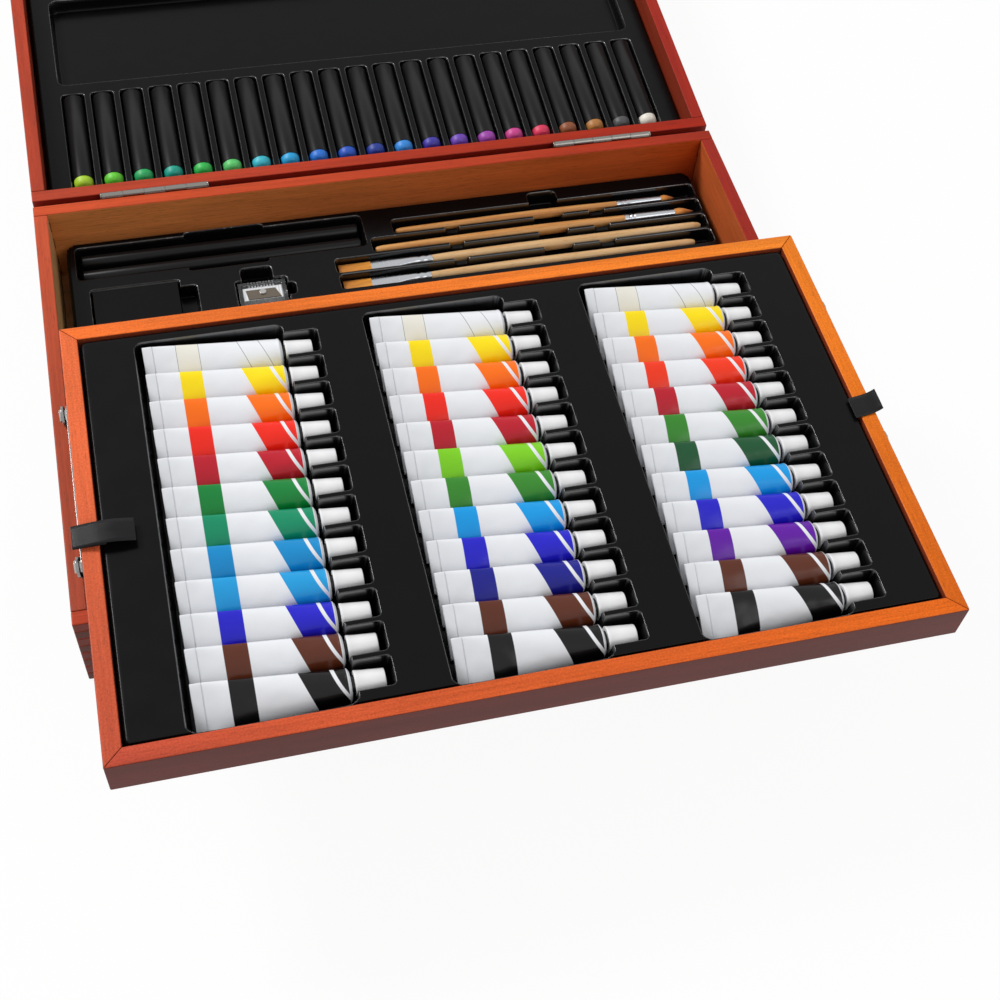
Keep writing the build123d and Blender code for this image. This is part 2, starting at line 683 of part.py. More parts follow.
def swing_arm(y):
    """A flat steel arm on the right side, from its pivot in the base up to its pivot on the tray."""
    dy, dz = arm_point(arm_open_angle, arm_length)
    side = Plane((arm_middle_x - arm_thickness / 2, y, base_pivot_z), x_dir=(0, 1, 0), z_dir=(1, 0, 0))
    outline = SlotCenterToCenter(arm_length, arm_width)
    outline = Pos(dy / 2, dz / 2) * Rot(0, 0, arm_open_angle) * outline
    arm = extrude(side * outline, arm_thickness)
    # The hole's flats clear the rivet's corners at every angle
    hole_radius = (rivet_radius + rivet_clearance) / cos(pi / rivet_sides)
    for hole_y, hole_z in ((y, base_pivot_z), (y + dy, base_pivot_z + dz)):
        arm = arm - rod_x(strip_face, bracket_face, hole_y, hole_z, hole_radius, rivet_sides)
    return arm


def rivet(y, z, foot, head, shoulder_face):
    """A shouldered rivet along X between a plate and its head, whichever way it points."""
    way = 1 if head > foot else -1
    arm_near = arm_middle_x - way * (arm_thickness / 2 + side_clearance)
    arm_far = arm_middle_x + way * (arm_thickness / 2 + side_clearance)
    spans = ((shoulder_face, arm_near, rivet_shoulder_radius), (foot, arm_far, rivet_radius),
             (arm_far, head, rivet_head_radius))
    pieces = [rod_x(min(a, b), max(a, b), y, z, radius, rivet_sides) for a, b, radius in spans]
    return pieces[0] + pieces[1] + pieces[2]


def make_bracket(rear_y, front_y):
    """The plate on the box wall, with a lug that the front arm comes to rest on."""
    plate = block(bracket_face, inner_half_width, front_y - arm_width, rear_y + arm_width,
                  base_pivot_z - bracket_half_height, base_pivot_z + bracket_half_height)
    away = arm_point(arm_open_angle, stop_radius_out)
    beside = arm_point(arm_open_angle + 90, arm_width / 2 + stop_clearance + stop_lug / 2)
    lug_y, lug_z = front_y + away[0] + beside[0], base_pivot_z + away[1] + beside[1]
    lug = rod_x(arm_middle_x - arm_thickness / 2, inner_half_width, lug_y, lug_z, stop_lug / 2)
    foot = block(bracket_face, inner_half_width, lug_y - stop_lug, lug_y + stop_lug, base_pivot_z, lug_z + stop_lug)
    holes = [rod_x(bracket_face, inner_half_width, y, base_pivot_z, rivet_radius, rivet_sides)
             for y in (rear_y, front_y)]
    return (plate + foot + lug) - holes


def make_arms():
    """Two pairs of arms that carry the tray, with the plates and rivets that they turn on."""
    rear_y, front_y = base_pivot_y, base_pivot_y - arm_spacing
    for name, y in (("rear", rear_y), ("front", front_y)):
        arm = swing_arm(y)
        parts[f"{name}_arm_right"] = arm
        parts[f"{name}_arm_left"] = mirror_x(arm)
    bracket = make_bracket(rear_y, front_y)
    parts["base_bracket_right"] = bracket
    parts["base_bracket_left"] = mirror_x(bracket)
    base_rivets = [rivet(y, base_pivot_z, inner_half_width, strip_face + side_clearance, bracket_face)
                   for y in (rear_y, front_y)]
    parts["base_pivot_rivets"] = group([*base_rivets, *(mirror_x(each) for each in base_rivets)])

    # Strip on the side of the tray
    x, z = tray_width / 2, -tray_pivot_drop
    rear, front = tray_pivot_rear, tray_pivot_rear - arm_spacing
    side = Plane((x, (rear + front) / 2, z), x_dir=(0, 1, 0), z_dir=(1, 0, 0))
    strip = extrude(side * SlotCenterToCenter(arm_spacing, strip_height), tray_strip)
    strip = strip - [rod_x(x, strip_face, y, z, rivet_radius, rivet_sides) for y in (rear, front)]
    parts["tray_strip_right"] = tray_place(strip)
    parts["tray_strip_left"] = tray_place(mirror_x(strip))
    tray_rivets = [rivet(y, z, x, bracket_face - side_clearance, strip_face) for y in (rear, front)]
    parts["tray_pivot_rivets"] = tray_place(group([*tray_rivets, *(mirror_x(each) for each in tray_rivets)]))


def rounded_plate(width, height, thickness):
    """A thin plate with rounded corners, its back face on the origin's plane."""
    return extrude(rounded_outline(width, height, clasp_corner), thickness)


def clasp_pin_place():
    """The clasp pin's line on the lid that lies open and level, in Y and Z."""
    return box_depth / 2 + clasp_plate_thickness + clasp_pin_standoff, lid_height - clasp_pin_from_rim


def clasp_keeper():
    """The plate with a stud on the base's front."""
    front = -box_depth / 2
    low = base_height - clasp_keeper_from_rim - clasp_keeper_height
    plate = rounded_plate(clasp_plate_width, clasp_keeper_height, clasp_plate_thickness)
    plate = Pos(0, front, low + clasp_keeper_height / 2) * Rot(90, 0, 0) * plate
    stud = Pos(0, front, base_height - clasp_stud_drop) * Rot(90, 0, 0) * extrude(
        RegularPolygon(clasp_stud_radius, tool_sides), clasp_plate_thickness + clasp_stud_height)
    return plate + stud


def clasp_plate(bore):
    """The plate on the lid's front, with a knuckle at each side of the tongue's."""
    pin_y, pin_z = clasp_pin_place()
    face, half = box_depth / 2, clasp_barrel_width / 2
    middle_z = lid_height - clasp_plate_from_rim - clasp_plate_height / 2
    plate = rounded_plate(clasp_plate_width, clasp_plate_height, clasp_plate_thickness)
    plate = Pos(0, face, middle_z) * Rot(-90, 0, 0) * plate
    for x0, x1 in ((-clasp_plate_width / 2, -half - knuckle_gap), (half + knuckle_gap, clasp_plate_width / 2)):
        plate = plate + rod_x(x0, x1, pin_y, pin_z, clasp_barrel_radius)
        web = 0.8 * clasp_barrel_radius
        plate = plate + block(x0, x1, face, pin_y, pin_z - web, pin_z + web)
    return plate - bore


def clasp_tongue(bore):
    """The tongue that hangs from its pin outside the plate, with a window for the stud."""
    pin_y, pin_z = clasp_pin_place()
    half = clasp_barrel_width / 2
    outer = pin_y + clasp_barrel_radius
    inner = outer - clasp_tongue_thickness
    neck = pin_z - clasp_tongue_neck
    strap_length = clasp_tongue_length - clasp_tongue_neck
    tongue = rod_x(-half, half, pin_y, pin_z, clasp_barrel_radius)
    tongue = tongue + block(-half, half, inner, outer, neck - clasp_corner, pin_z)
    strap = rounded_plate(clasp_tongue_width, strap_length, clasp_tongue_thickness)
    strap = Pos(0, inner, neck - strap_length / 2) * Rot(-90, 0, 0) * strap
    end = pin_z - clasp_tongue_length
    lip = block(-half, half, inner - clasp_tongue_thickness, outer, end - clasp_tongue_thickness, end + knuckle_gap)
    window_z = pin_z - (clasp_stud_drop + clasp_pin_from_rim + closing_gap)
    window = Pos(0, outer + clasp_tongue_thickness, window_z) * Rot(90, 0, 0) * extrude(
        RegularPolygon(clasp_stud_radius + clasp_stud_clearance, tool_sides), 4 * clasp_tongue_thickness)
    return (tongue + strap + lip) - window - bore


def make_clasps():
    """Two small clasps: a hinged tongue on the lid whose window drops over a stud on the base."""
    sides = (-clasp_centre_x, clasp_centre_x)
    pin_y, pin_z = clasp_pin_place()
    half = clasp_plate_width / 2
    bore = rod_x(-half, half, pin_y, pin_z, clasp_pin_radius + hinge_pin_clearance)
    pin = rod_x(-half, half, pin_y, pin_z, clasp_pin_radius * cos(pi / tool_sides), None)
    keeper, plate, tongue = clasp_keeper(), clasp_plate(bore), clasp_tongue(bore)
    parts["clasp_keepers"] = group([Pos(x, 0, 0) * keeper for x in sides])
    parts["clasp_plates"] = group([lid_place(Pos(x, 0, 0) * plate) for x in sides])
    parts["clasp_pins"] = group([lid_place(Pos(x, 0, 0) * pin) for x in sides])
    parts["clasp_tongue_left"] = lid_place(Pos(-clasp_centre_x, 0, 0) * tongue)
    parts["clasp_tongue_right"] = lid_place(Pos(clasp_centre_x, 0, 0) * tongue)


def open_lid_point(y, z):
    """A point of the level lid's frame as it stands at rest, in Y and Z."""
    spot = lid_place(Pos(0, y, z) * Box(wall, wall, wall)).center()
    return round(spot.Y, 4), round(spot.Z, 4)


make_base()
make_lid()
make_hinges()
make_base_insert()
make_brushes()
make_drawing_tools()
make_lid_insert()
make_pastels()
make_tray()
make_tray_insert()
make_tubes()
make_ribbons()
make_arms()
make_clasps()

os.makedirs("parts", exist_ok=True)
for part_name, shape in parts.items():
    shape.label = part_name
    export_step(shape, f"parts/{part_name}.step")

# The joints' places, for the record
print("lid hinge y, z:", hinge_axis_y, hinge_axis_z)
print("rear base pivot y, z:", base_pivot_y, base_pivot_z)
print("rear tray pivot y, z:", tray_pivot_rear - tray_travel, tray_top - tray_pivot_drop)
print("arm swing:", arm_swing)
print("clasp pin y, z:", *open_lid_point(*clasp_pin_place()))
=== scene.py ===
import math
import random

import bmesh
import bpy
import numpy as np
from mathutils import Matrix, Vector


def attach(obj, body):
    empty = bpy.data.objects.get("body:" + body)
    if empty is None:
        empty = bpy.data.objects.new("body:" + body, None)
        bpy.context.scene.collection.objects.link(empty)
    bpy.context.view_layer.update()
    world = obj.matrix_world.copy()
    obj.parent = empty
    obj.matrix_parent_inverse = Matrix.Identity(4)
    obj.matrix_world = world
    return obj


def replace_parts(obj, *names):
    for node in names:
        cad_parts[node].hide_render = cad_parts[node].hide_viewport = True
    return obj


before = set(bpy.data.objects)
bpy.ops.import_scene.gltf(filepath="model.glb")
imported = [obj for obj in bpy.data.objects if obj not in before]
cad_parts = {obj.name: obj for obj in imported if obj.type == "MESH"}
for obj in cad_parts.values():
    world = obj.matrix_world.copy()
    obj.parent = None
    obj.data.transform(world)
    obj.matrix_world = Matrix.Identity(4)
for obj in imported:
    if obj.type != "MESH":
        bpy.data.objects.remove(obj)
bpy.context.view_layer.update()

# The lower box is solid wood, 7.5 mm thick and finger jointed at the corners.
# It was stained mahogany red on the rim and outside, tan inside, and has a satin lacquer; its outer faces are
# painted darker as shade, and its tones shift with painted light.
# The walls are glued round a thin panel let into their lower edges.
MM = 0.001
BOX_DEPTH = 275.0
BASE_HEIGHT = 52.0
INNER_HALF_WIDTH = 192.5
INNER_HALF_DEPTH = 130.0


def linear(code, alpha=1.0):
    """A colour written as an sRGB hex value, turned to linear."""
    parts = [int(code[i:i + 2], 16) / 255 for i in (1, 3, 5)]
    return tuple(c / 12.92 if c <= 0.04045 else ((c + 0.055) / 1.055) ** 2.4 for c in parts) + (alpha,)


def new_material(name, **sockets):
    """A material whose shader starts from the real surface's values, with its tree and shader."""
    material = bpy.data.materials.new(name)
    material.use_nodes = True
    shader = material.node_tree.nodes["Principled BSDF"]
    for socket, value in sockets.items():
        shader.inputs[socket.replace("_", " ")].default_value = value
    return material, material.node_tree, shader


def add(tree, kind, settings=None, inputs=None):
    """Adds a node: its settings, and its inputs as values or as (node, output) to link from."""
    made = tree.nodes.new(kind)
    for key, value in (settings or {}).items():
        setattr(made, key, value)
    for socket, value in (inputs or {}).items():
        if isinstance(value, tuple) and isinstance(value[0], bpy.types.Node):
            tree.links.new(value[0].outputs[value[1]], made.inputs[socket])
        else:
            made.inputs[socket].default_value = value
    return made


TIMES = {"operation": "MULTIPLY"}
COLOURS = {"data_type": "RGBA"}


def toned(tree, shader, hue, shade):
    """Gives a surface its colour, made lighter and darker by a shade near 1."""
    colour = add(tree, "ShaderNodeMix", {"data_type": "RGBA", "blend_type": "MULTIPLY"}, {
        0: 1.0, 6: hue, 7: (shade, 0)})
    tree.links.new(colour.outputs[2], shader.inputs["Base Color"])


def board(name, along, rim, side, inside, to_box, hollow, speckle=0.0):
    """Stained and lacquered wood: grain along one axis. Rim and inside change from one colour to another;
    other faces get a darker side colour, painted shade.
    """
    # A satin lacquer over open grain: the pores stay as short dark dashes in soft, broad figure
    material, tree, shader = new_material(name, Roughness=0.38, Specular_IOR_Level=0.15)
    coords = add(tree, "ShaderNodeTexCoord")
    place = add(tree, "ShaderNodeMapping", {"vector_type": "POINT"}, {
        "Vector": (coords, "Object"), "Location": to_box.translation, "Rotation": to_box.to_euler()})
    split = add(tree, "ShaderNodeSeparateXYZ", None, {0: (place, 0)})

    def grain(length_mm, width_mm, detail, distortion=0.0):
        across = 1 / (width_mm * MM)
        scale = [across] * 3
        scale[along] = 1 / (length_mm * MM)
        stretched = add(tree, "ShaderNodeMapping", {"vector_type": "POINT"}, {
            "Vector": (place, 0), "Scale": scale})
        return add(tree, "ShaderNodeTexNoise", None, {
            "Vector": (stretched, 0), "Scale": 1.0, "Detail": detail, "Distortion": distortion})

    figure = grain(190, 13, 3, 0.6)
    fibres = grain(38, 1.1, 3)
    pores = grain(7, 0.42, 2)
    broad = add(tree, "ShaderNodeMapRange", None, {
        "Value": (figure, 0), "From Min": 0.3, "From Max": 0.7, "To Min": 0.8, "To Max": 1.12})
    fine = add(tree, "ShaderNodeMapRange", None, {
        "Value": (fibres, 0), "From Min": 0.3, "From Max": 0.7, "To Min": 0.88, "To Max": 1.08})
    pore = add(tree, "ShaderNodeMapRange", None, {
        "Value": (pores, 0), "From Min": 0.6, "From Max": 0.68, "To Min": 1.0, "To Max": 0.72})
    shade = add(tree, "ShaderNodeMath", TIMES, {0: (broad, 0), 1: (fine, 0)})
    shade = add(tree, "ShaderNodeMath", TIMES, {0: (shade, 0), 1: (pore, 0)})

    # Inside means between the walls' inner faces
    near = []
    for axis, half in (("X", hollow[0]), ("Y", hollow[1])):
        far = add(tree, "ShaderNodeMath", {"operation": "ABSOLUTE"}, {0: (split, axis)})
        near.append(add(tree, "ShaderNodeMath", {"operation": "LESS_THAN"}, {
            0: (far, 0), 1: (half + 0.1) * MM}))
    within = add(tree, "ShaderNodeMath", TIMES, {0: (near[0], 0), 1: (near[1], 0)})
    # Faces that don't face up take the darker side colour: painted shade, as the tops are lit and the sides
    # are not
    facing = add(tree, "ShaderNodeSeparateXYZ", None, {0: (coords, "Normal")})
    upward = add(tree, "ShaderNodeMapRange", None, {
        "Value": (facing, "Z"), "From Min": 0.35, "From Max": 0.75, "To Min": 0.0, "To Max": 1.0})
    # The tone drifts from one end of the board to the other: painted light, grading each board from its
    # brighter to its more shaded end
    end = hollow[along] * MM + 1e-4
    light_drift = add(tree, "ShaderNodeMapRange", None, {
        "Value": (split, "XY"[along]), "From Min": -end, "From Max": end})
    graded = [add(tree, "ShaderNodeMix", COLOURS, {
        0: (light_drift, 0), 6: linear(pair[0]), 7: linear(pair[-1])}) for pair in (rim, inside)]
    walls = add(tree, "ShaderNodeMix", COLOURS, {
        0: (within, 0), 6: linear(side), 7: (graded[1], 2)})
    stain_light_and_shade = add(tree, "ShaderNodeMix", COLOURS, {
        0: (upward, 0), 6: (walls, 2), 7: (graded[0], 2)})
    if speckle:
        # Short grain in the rails shows as fine light specks about half a millimetre across
        specks = add(tree, "ShaderNodeTexNoise", None, {
            "Vector": (place, 0), "Scale": 1 / (0.9 * MM), "Detail": 2.0})
        speck = add(tree, "ShaderNodeMapRange", None, {
            "Value": (specks, 0), "From Min": 0.35, "From Max": 0.65,
            "To Min": 1 - speckle, "To Max": 1 + speckle})
        shade = add(tree, "ShaderNodeMath", TIMES, {0: (shade, 0), 1: (speck, 0)})
    toned(tree, shader, (stain_light_and_shade, 2), shade)
    height = add(tree, "ShaderNodeMath", TIMES, {0: (fine, 0), 1: (pore, 0)})
    bump = add(tree, "ShaderNodeBump", None, {"Height": (height, 0), "Strength": 0.35, "Distance": 0.12 * MM})
    tree.links.new(bump.outputs[0], shader.inputs["Normal"])
    return material


def crisp_edges(limit):
    """A node group that drops the frame's stored normals and shades smooth up to an angle."""
    group = bpy.data.node_groups.new(f"crisp_edges_{limit}", "GeometryNodeTree")
    for way in ("INPUT", "OUTPUT"):
        group.interface.new_socket("Geometry", in_out=way, socket_type="NodeSocketGeometry")
    start, end = (add(group, kind) for kind in ("NodeGroupInput", "NodeGroupOutput"))
    plain = add(group, "GeometryNodeRemoveAttribute", None, {"Geometry": (start, 0), "Name": "custom_normal"})
    smooth = add(group, "GeometryNodeSetShadeSmooth", {"domain": "FACE"}, {
        "Geometry": (plain, 0), "Shade Smooth": True})
    angle = add(group, "GeometryNodeInputMeshEdgeAngle")
    sharp = add(group, "FunctionNodeCompare", {"data_type": "FLOAT", "operation": "GREATER_THAN"}, {
        0: (angle, 0), 1: math.radians(limit)})
    crisp = add(group, "GeometryNodeSetShadeSmooth", {"domain": "EDGE"}, {
        "Geometry": (smooth, 0), "Selection": (sharp, 0), "Shade Smooth": False})
    group.links.new(crisp.outputs[0], end.inputs[0])
    return group


crisp_group = crisp_edges(34)


def dress(name, material, rounding, segments=2):
    """Gives a frame piece its material and eases its edges by a rounding in millimetres."""
    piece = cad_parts[name]
    piece.data.materials.clear()
    piece.data.materials.append(material)
    weld = piece.modifiers.new("joined", "WELD")
    weld.merge_threshold = 0.002 * MM
    flat = piece.modifiers.new("flat_faces", "DECIMATE")
    flat.decimate_type = "DISSOLVE"
    flat.angle_limit = math.radians(0.5)
    if rounding:
        eased = piece.modifiers.new("eased_edges", "BEVEL")
        eased.width = rounding * MM
        eased.segments = segments
        eased.limit_method = "ANGLE"
        eased.angle_limit = math.radians(40)
        eased.use_clamp_overlap = True
    crisp = piece.modifiers.new("crisp", "NODES")
    crisp.node_group = crisp_group
    even = piece.modifiers.new("even_shading", "WEIGHTED_NORMAL")
    even.keep_sharp = True
    return piece


still = Matrix.Identity(4)
box_hollow = (INNER_HALF_WIDTH, INNER_HALF_DEPTH)
# Each wall's side colour is painted shade on its outer faces; its rim and inside colours are painted
# gradients of light, the insides brightened where they lie in shade
for wall, along, rim, side, inside in (
        ("back", 0, ("#c44c26", "#a22a10"), "#8a2f1e", ("#e08c4c", "#c44f1c")),
        ("front", 0, ("#bf4426", "#a8331a"), "#74281a", ("#c87a44", "#c06a3a")),
        ("left", 1, ("#b04a30", "#c2502f"), "#5e281c", ("#d0a06a", "#d0a06a")),
        ("right", 1, ("#982416", "#982416"), "#8c1a12", ("#c05c30", "#cc6432"))):
    wood = board(f"stained_red_wood_{wall}", along, rim, side, inside, still, box_hollow)
    dress(f"base_{wall}_wall", wood, 0.7, 3)

# The panels under the base, over the lid and in the tray are thin birch plywood.
# They are rotary cut, sanded and let into the walls' edges; the lid's has the walls' red stain.
# The plain panel's edges and underside are a little darker: painted shade
panel_wood = board("thin_plywood", 0, ("#b98455",), "#a9774a", ("#b98455",), still, (0, 0))
lid_panel_wood = board("thin_plywood_stained", 0, ("#8e2f1c",), "#8e2f1c", ("#8e2f1c",), still, (0, 0))
for panel, wood in (("base_bottom_panel", panel_wood), ("tray_bottom_panel", panel_wood),
                    ("lid_top_panel", lid_panel_wood)):
    dress(panel, wood, 0.2)

# The base insert is one sheet of black polystyrene, 0.8 mm thick, vacuum formed over a mould.
# It has a place for each tool and a well for a palette, and lies loose in the wooden base.
PANEL = 3.0
SHEET = 0.8
SHEET_DRAWN = 0.6
INSERT_TOP = 28.8
INSERT_HALF_WIDTH = 187.9
WALL_OUT = 0.6
WALL_IN = 1.1
STORAGE_FLOOR_ROOM = 3.0
STORAGE_DEPTH = INSERT_TOP - PANEL - SHEET - STORAGE_FLOOR_ROOM


def insert_x(share):
    """A place across the base insert, as a share of its width from the left."""
    return (2 * share - 1) * INSERT_HALF_WIDTH


def from_back(distance):
    """A place in the base, measured from the inner face of its back wall."""
    return INNER_HALF_DEPTH - distance


def steps(edges, low, high, widest):
    """Mesh lines, close together at each wall and wide apart between the walls."""
    lines = {low, high}
    for edge, inward in edges:
        for offset in (-0.9, -WALL_OUT, -0.3, 0.0, 0.5, WALL_IN, 2.0, 3.2):
            lines.add(edge + inward * offset)
    ordered = sorted(line for line in lines if low <= line <= high)
    spaced = [ordered[0]]
    for line in ordered[1:]:
        gap = line - spaced[-1]
        if gap < 0.2 and line != ordered[-1]:
            continue
        parts = max(1, math.ceil(gap / widest))
        start = spaced[-1]
        spaced.extend(start + gap * (i + 1) / parts for i in range(parts))
    return np.array(spaced)


def reach(x, y, x0, x1, y0, y1, corner):
    """The distance outside a rectangle with rounded corners, negative inside."""
    across = np.abs(x - (x0 + x1) / 2) - ((x1 - x0) / 2 - corner)
    along = np.abs(y - (y0 + y1) / 2) - ((y1 - y0) / 2 - corner)
    corner_part = np.hypot(np.maximum(across, 0), np.maximum(along, 0))
    return corner_part + np.minimum(np.maximum(across, along), 0) - corner


def eased(share):
    """A soft step from 0 to 1."""
    share = np.clip(share, 0, 1)
    return share * share * (3 - 2 * share)


def make_mesh(name, points, faces, place=None, crisp=35, merge=0.0, shine=None):
    """An object from points in millimetres, put in place, with edges crisp above an angle."""
    mesh = bpy.data.meshes.new(name)
    mesh.from_pydata([tuple(p) for p in points], [], faces)
    if shine is not None:
        mesh.attributes.new("shine", "FLOAT", "POINT").data.foreach_set("value", shine)
    body = bmesh.new()
    body.from_mesh(mesh)
    if merge:
        bmesh.ops.remove_doubles(body, verts=body.verts, dist=merge)
    bmesh.ops.recalc_face_normals(body, faces=body.faces)
    for face in body.faces:
        face.smooth = True
    for edge in body.edges:
        if len(edge.link_faces) == 2 and edge.calc_face_angle(0.0) > math.radians(crisp):
            edge.smooth = False
    body.to_mesh(mesh)
    body.free()
    mesh.transform(Matrix.Scale(MM, 4) @ (place or still))
    piece = bpy.data.objects.new(name, mesh)
    bpy.context.scene.collection.objects.link(piece)
    return piece


def formed_sheet(name, half_x, half_y, corner, top, skirt, pockets, place):
    """A sheet pressed into pockets (x0, x1, y0, y1, depth, corner) and turned down round its edge."""
    x_edges = [(-half_x, 1), (half_x, -1)] + [e for p in pockets for e in ((p[0], 1), (p[1], -1))]
    y_edges = [(-half_y, 1), (half_y, -1)] + [e for p in pockets for e in ((p[2], 1), (p[3], -1))]
    xs, ys = steps(x_edges, -half_x, half_x, 9.0), steps(y_edges, -half_y, half_y, 9.0)
    x, y = np.meshgrid(xs, ys, indexing="ij")
    depth = np.zeros_like(x)
    nearest = np.full_like(x, half_x)
    for x0, x1, y0, y1, deep, round_corner in pockets:
        outside = reach(x, y, x0, x1, y0, y1, round_corner)
        depth = np.maximum(depth, deep * eased((WALL_OUT - outside) / (WALL_OUT + WALL_IN)))
        nearest = np.minimum(nearest, outside)
    # Stretched over each pocket's edge, the sheet is thin and shiny
    shine = np.clip(1.5 - np.abs(nearest - 0.45) / 0.3, 0, 1).ravel()
    outside = reach(x, y, -half_x, half_x, -half_y, half_y, corner)
    # Points beyond the rounded corners are drawn in to the outline, and merged
    step = 0.01
    slope_x = (reach(x + step, y, -half_x, half_x, -half_y, half_y, corner) - outside) / step
    slope_y = (reach(x, y + step, -half_x, half_x, -half_y, half_y, corner) - outside) / step
    beyond = np.maximum(outside, 0)
    x, y = x - beyond * slope_x, y - beyond * slope_y
    z = top - depth - skirt * (1 - eased(-outside / 1.3))
    points = np.stack((x, y, z), axis=-1).reshape(-1, 3)
    rows, columns = len(xs), len(ys)
    faces = [(i * columns + j, (i + 1) * columns + j, (i + 1) * columns + j + 1, i * columns + j + 1)
             for i in range(rows - 1) for j in range(columns - 1)]
    piece = make_mesh(name, points, faces, place, crisp=80, merge=0.02, shine=shine)
    if piece.data.polygons[len(piece.data.polygons) // 2].normal.z < 0:
        piece.data.flip_normals()
    thick = piece.modifiers.new("sheet", "SOLIDIFY")
    thick.thickness = SHEET_DRAWN * MM
    thick.offset = -1
    piece.modifiers.new("even_shading", "WEIGHTED_NORMAL")
    return piece


# Black high-impact polystyrene, vacuum formed: a soft satin skin that ripples a little on flats.
# Where the sheet was stretched over an edge it is glossy, as if under a coat.
black_plastic, tree, shader = new_material(
    "black_formed_plastic", Base_Color=linear("#09090a"), IOR=1.55, Specular_IOR_Level=0.09,
    Coat_Roughness=0.24, Coat_IOR=2.1)
edge = add(tree, "ShaderNodeAttribute", {"attribute_name": "shine"})
tree.links.new(edge.outputs["Fac"], shader.inputs["Coat Weight"])
coords = add(tree, "ShaderNodeTexCoord")
ripple = add(tree, "ShaderNodeTexNoise", None, {
    "Vector": (coords, "Object"), "Scale": 1 / (14 * MM), "Detail": 1.0})
skin = add(tree, "ShaderNodeTexNoise", None, {
    "Vector": (coords, "Object"), "Scale": 1 / (0.5 * MM), "Detail": 2.0})
height = add(tree, "ShaderNodeMath", {"operation": "MULTIPLY_ADD"}, {
    0: (skin, 0), 1: 0.04, 2: (ripple, 0)})
bump = add(tree, "ShaderNodeBump", None, {"Height": (height, 0), "Strength": 0.5, "Distance": 0.25 * MM})
tree.links.new(bump.outputs[0], shader.inputs["Normal"])
dull = add(tree, "ShaderNodeMapRange", None, {
    "Value": (ripple, 0), "From Min": 0.3, "From Max": 0.7, "To Min": 0.2, "To Max": 0.28})
tree.links.new(dull.outputs[0], shader.inputs["Roughness"])

# Where each tool lies, with places across the insert as shares of its width.
# A round brush has its handle's end, ferrule, hair and tip, a flat one the same the other way round,
# and both have how thick they are.
STICK_SPAN = (insert_x(0.0237), insert_x(0.4454))
STICK_FINGER_WELL = (insert_x(0.1807), insert_x(0.3004))
STICK_ROWS = (from_back(12.2), from_back(23.9))
STICK_DEPTH = 10.0
ROUND_BRUSHES = (((0.5035, 0.8652, 0.9400, 0.9639), 0.83), ((0.4650, 0.8690, 0.9530, 0.9860), 0.97))
FLAT_BRUSHES = (((0.4026, 0.4521, 0.5474, 0.9870), 1.07), ((0.4042, 0.4468, 0.5386, 0.9667), 1.0))
BRUSH_ROWS = [from_back(18.0 + row * 12.8) for row in range(4)]
CHANNEL_END = insert_x(0.9936)
CHANNEL_HALF = 5.1
CHANNEL_DEPTH = 8.4
FINGER_TROUGH = (insert_x(0.7235), insert_x(0.7688))
RIDGE_DIPS = ((0.5798, 0.6011), (0.8140, 0.8379))
ERASER = (insert_x(0.0349), insert_x(0.1594), from_back(71.5), from_back(40.0))
SHARPENER = (insert_x(0.2459), insert_x(0.3177), from_back(64.5), from_back(47.0))
ITEM_DEPTH = 11.0
NOTCH_DEPTH = 8.0
STORAGE = (insert_x(0.1009), insert_x(0.8991), 19.5 - INNER_HALF_DEPTH, from_back(91.5))
near_stick, far_stick = STICK_ROWS[1] - 6.2, STICK_ROWS[0] + 6.2
near_brush, far_brush = BRUSH_ROWS[3] - CHANNEL_HALF, BRUSH_ROWS[0] + CHANNEL_HALF
base_pockets = [
    (STICK_SPAN[0] - 2.5, STICK_SPAN[1] + 2.5, near_stick, far_stick, STICK_DEPTH, 3.0),
    (*STICK_FINGER_WELL, near_stick - 2.6, far_stick + 2.6, 12.0, 2.0),
    (*FINGER_TROUGH, near_brush, BRUSH_ROWS[0] + 13.1, CHANNEL_DEPTH, 3.0),
    (*STORAGE, STORAGE_DEPTH, 12.0),
]
for (shares, thick), y in zip(ROUND_BRUSHES + FLAT_BRUSHES, BRUSH_ROWS):
    base_pockets.append((insert_x(shares[0]) - 1.5, CHANNEL_END, y - CHANNEL_HALF, y + CHANNEL_HALF,
                         CHANNEL_DEPTH, 2.2))
for start, end in RIDGE_DIPS:
    base_pockets.append((insert_x(start), insert_x(end), near_brush, far_brush, 3.5, 1.0))
for (x0, x1, y0, y1), notch in ((ERASER, 10.0), (SHARPENER, 5.0)):
    base_pockets.append((x0 - 0.8, x1 + 0.8, y0 - 0.8, y1 + 0.8, ITEM_DEPTH, 1.8))
    base_pockets.append((x1 - 1.5, x1 + notch, y0 + 4.5, y1 - 4.5, NOTCH_DEPTH, 2.0))
x0, x1, y0, y1 = SHARPENER
base_pockets.append((x0 + 0.12 * (x1 - x0), x0 + 0.75 * (x1 - x0), y1 - 1.5, y1 + 10.0, NOTCH_DEPTH, 2.5))
base_insert = formed_sheet("base_insert_formed", INSERT_HALF_WIDTH, INNER_HALF_DEPTH - 0.6, 8.0, INSERT_TOP,
                           INSERT_TOP - 3.6, base_pockets, still)
base_insert.data.materials.append(black_plastic)
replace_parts(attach(base_insert, "base"), "base_insert")

# Two drawing sticks lie side by side at the left: round wooden rods under black lacquer.
# Their ends are cut square and lightly rounded over.


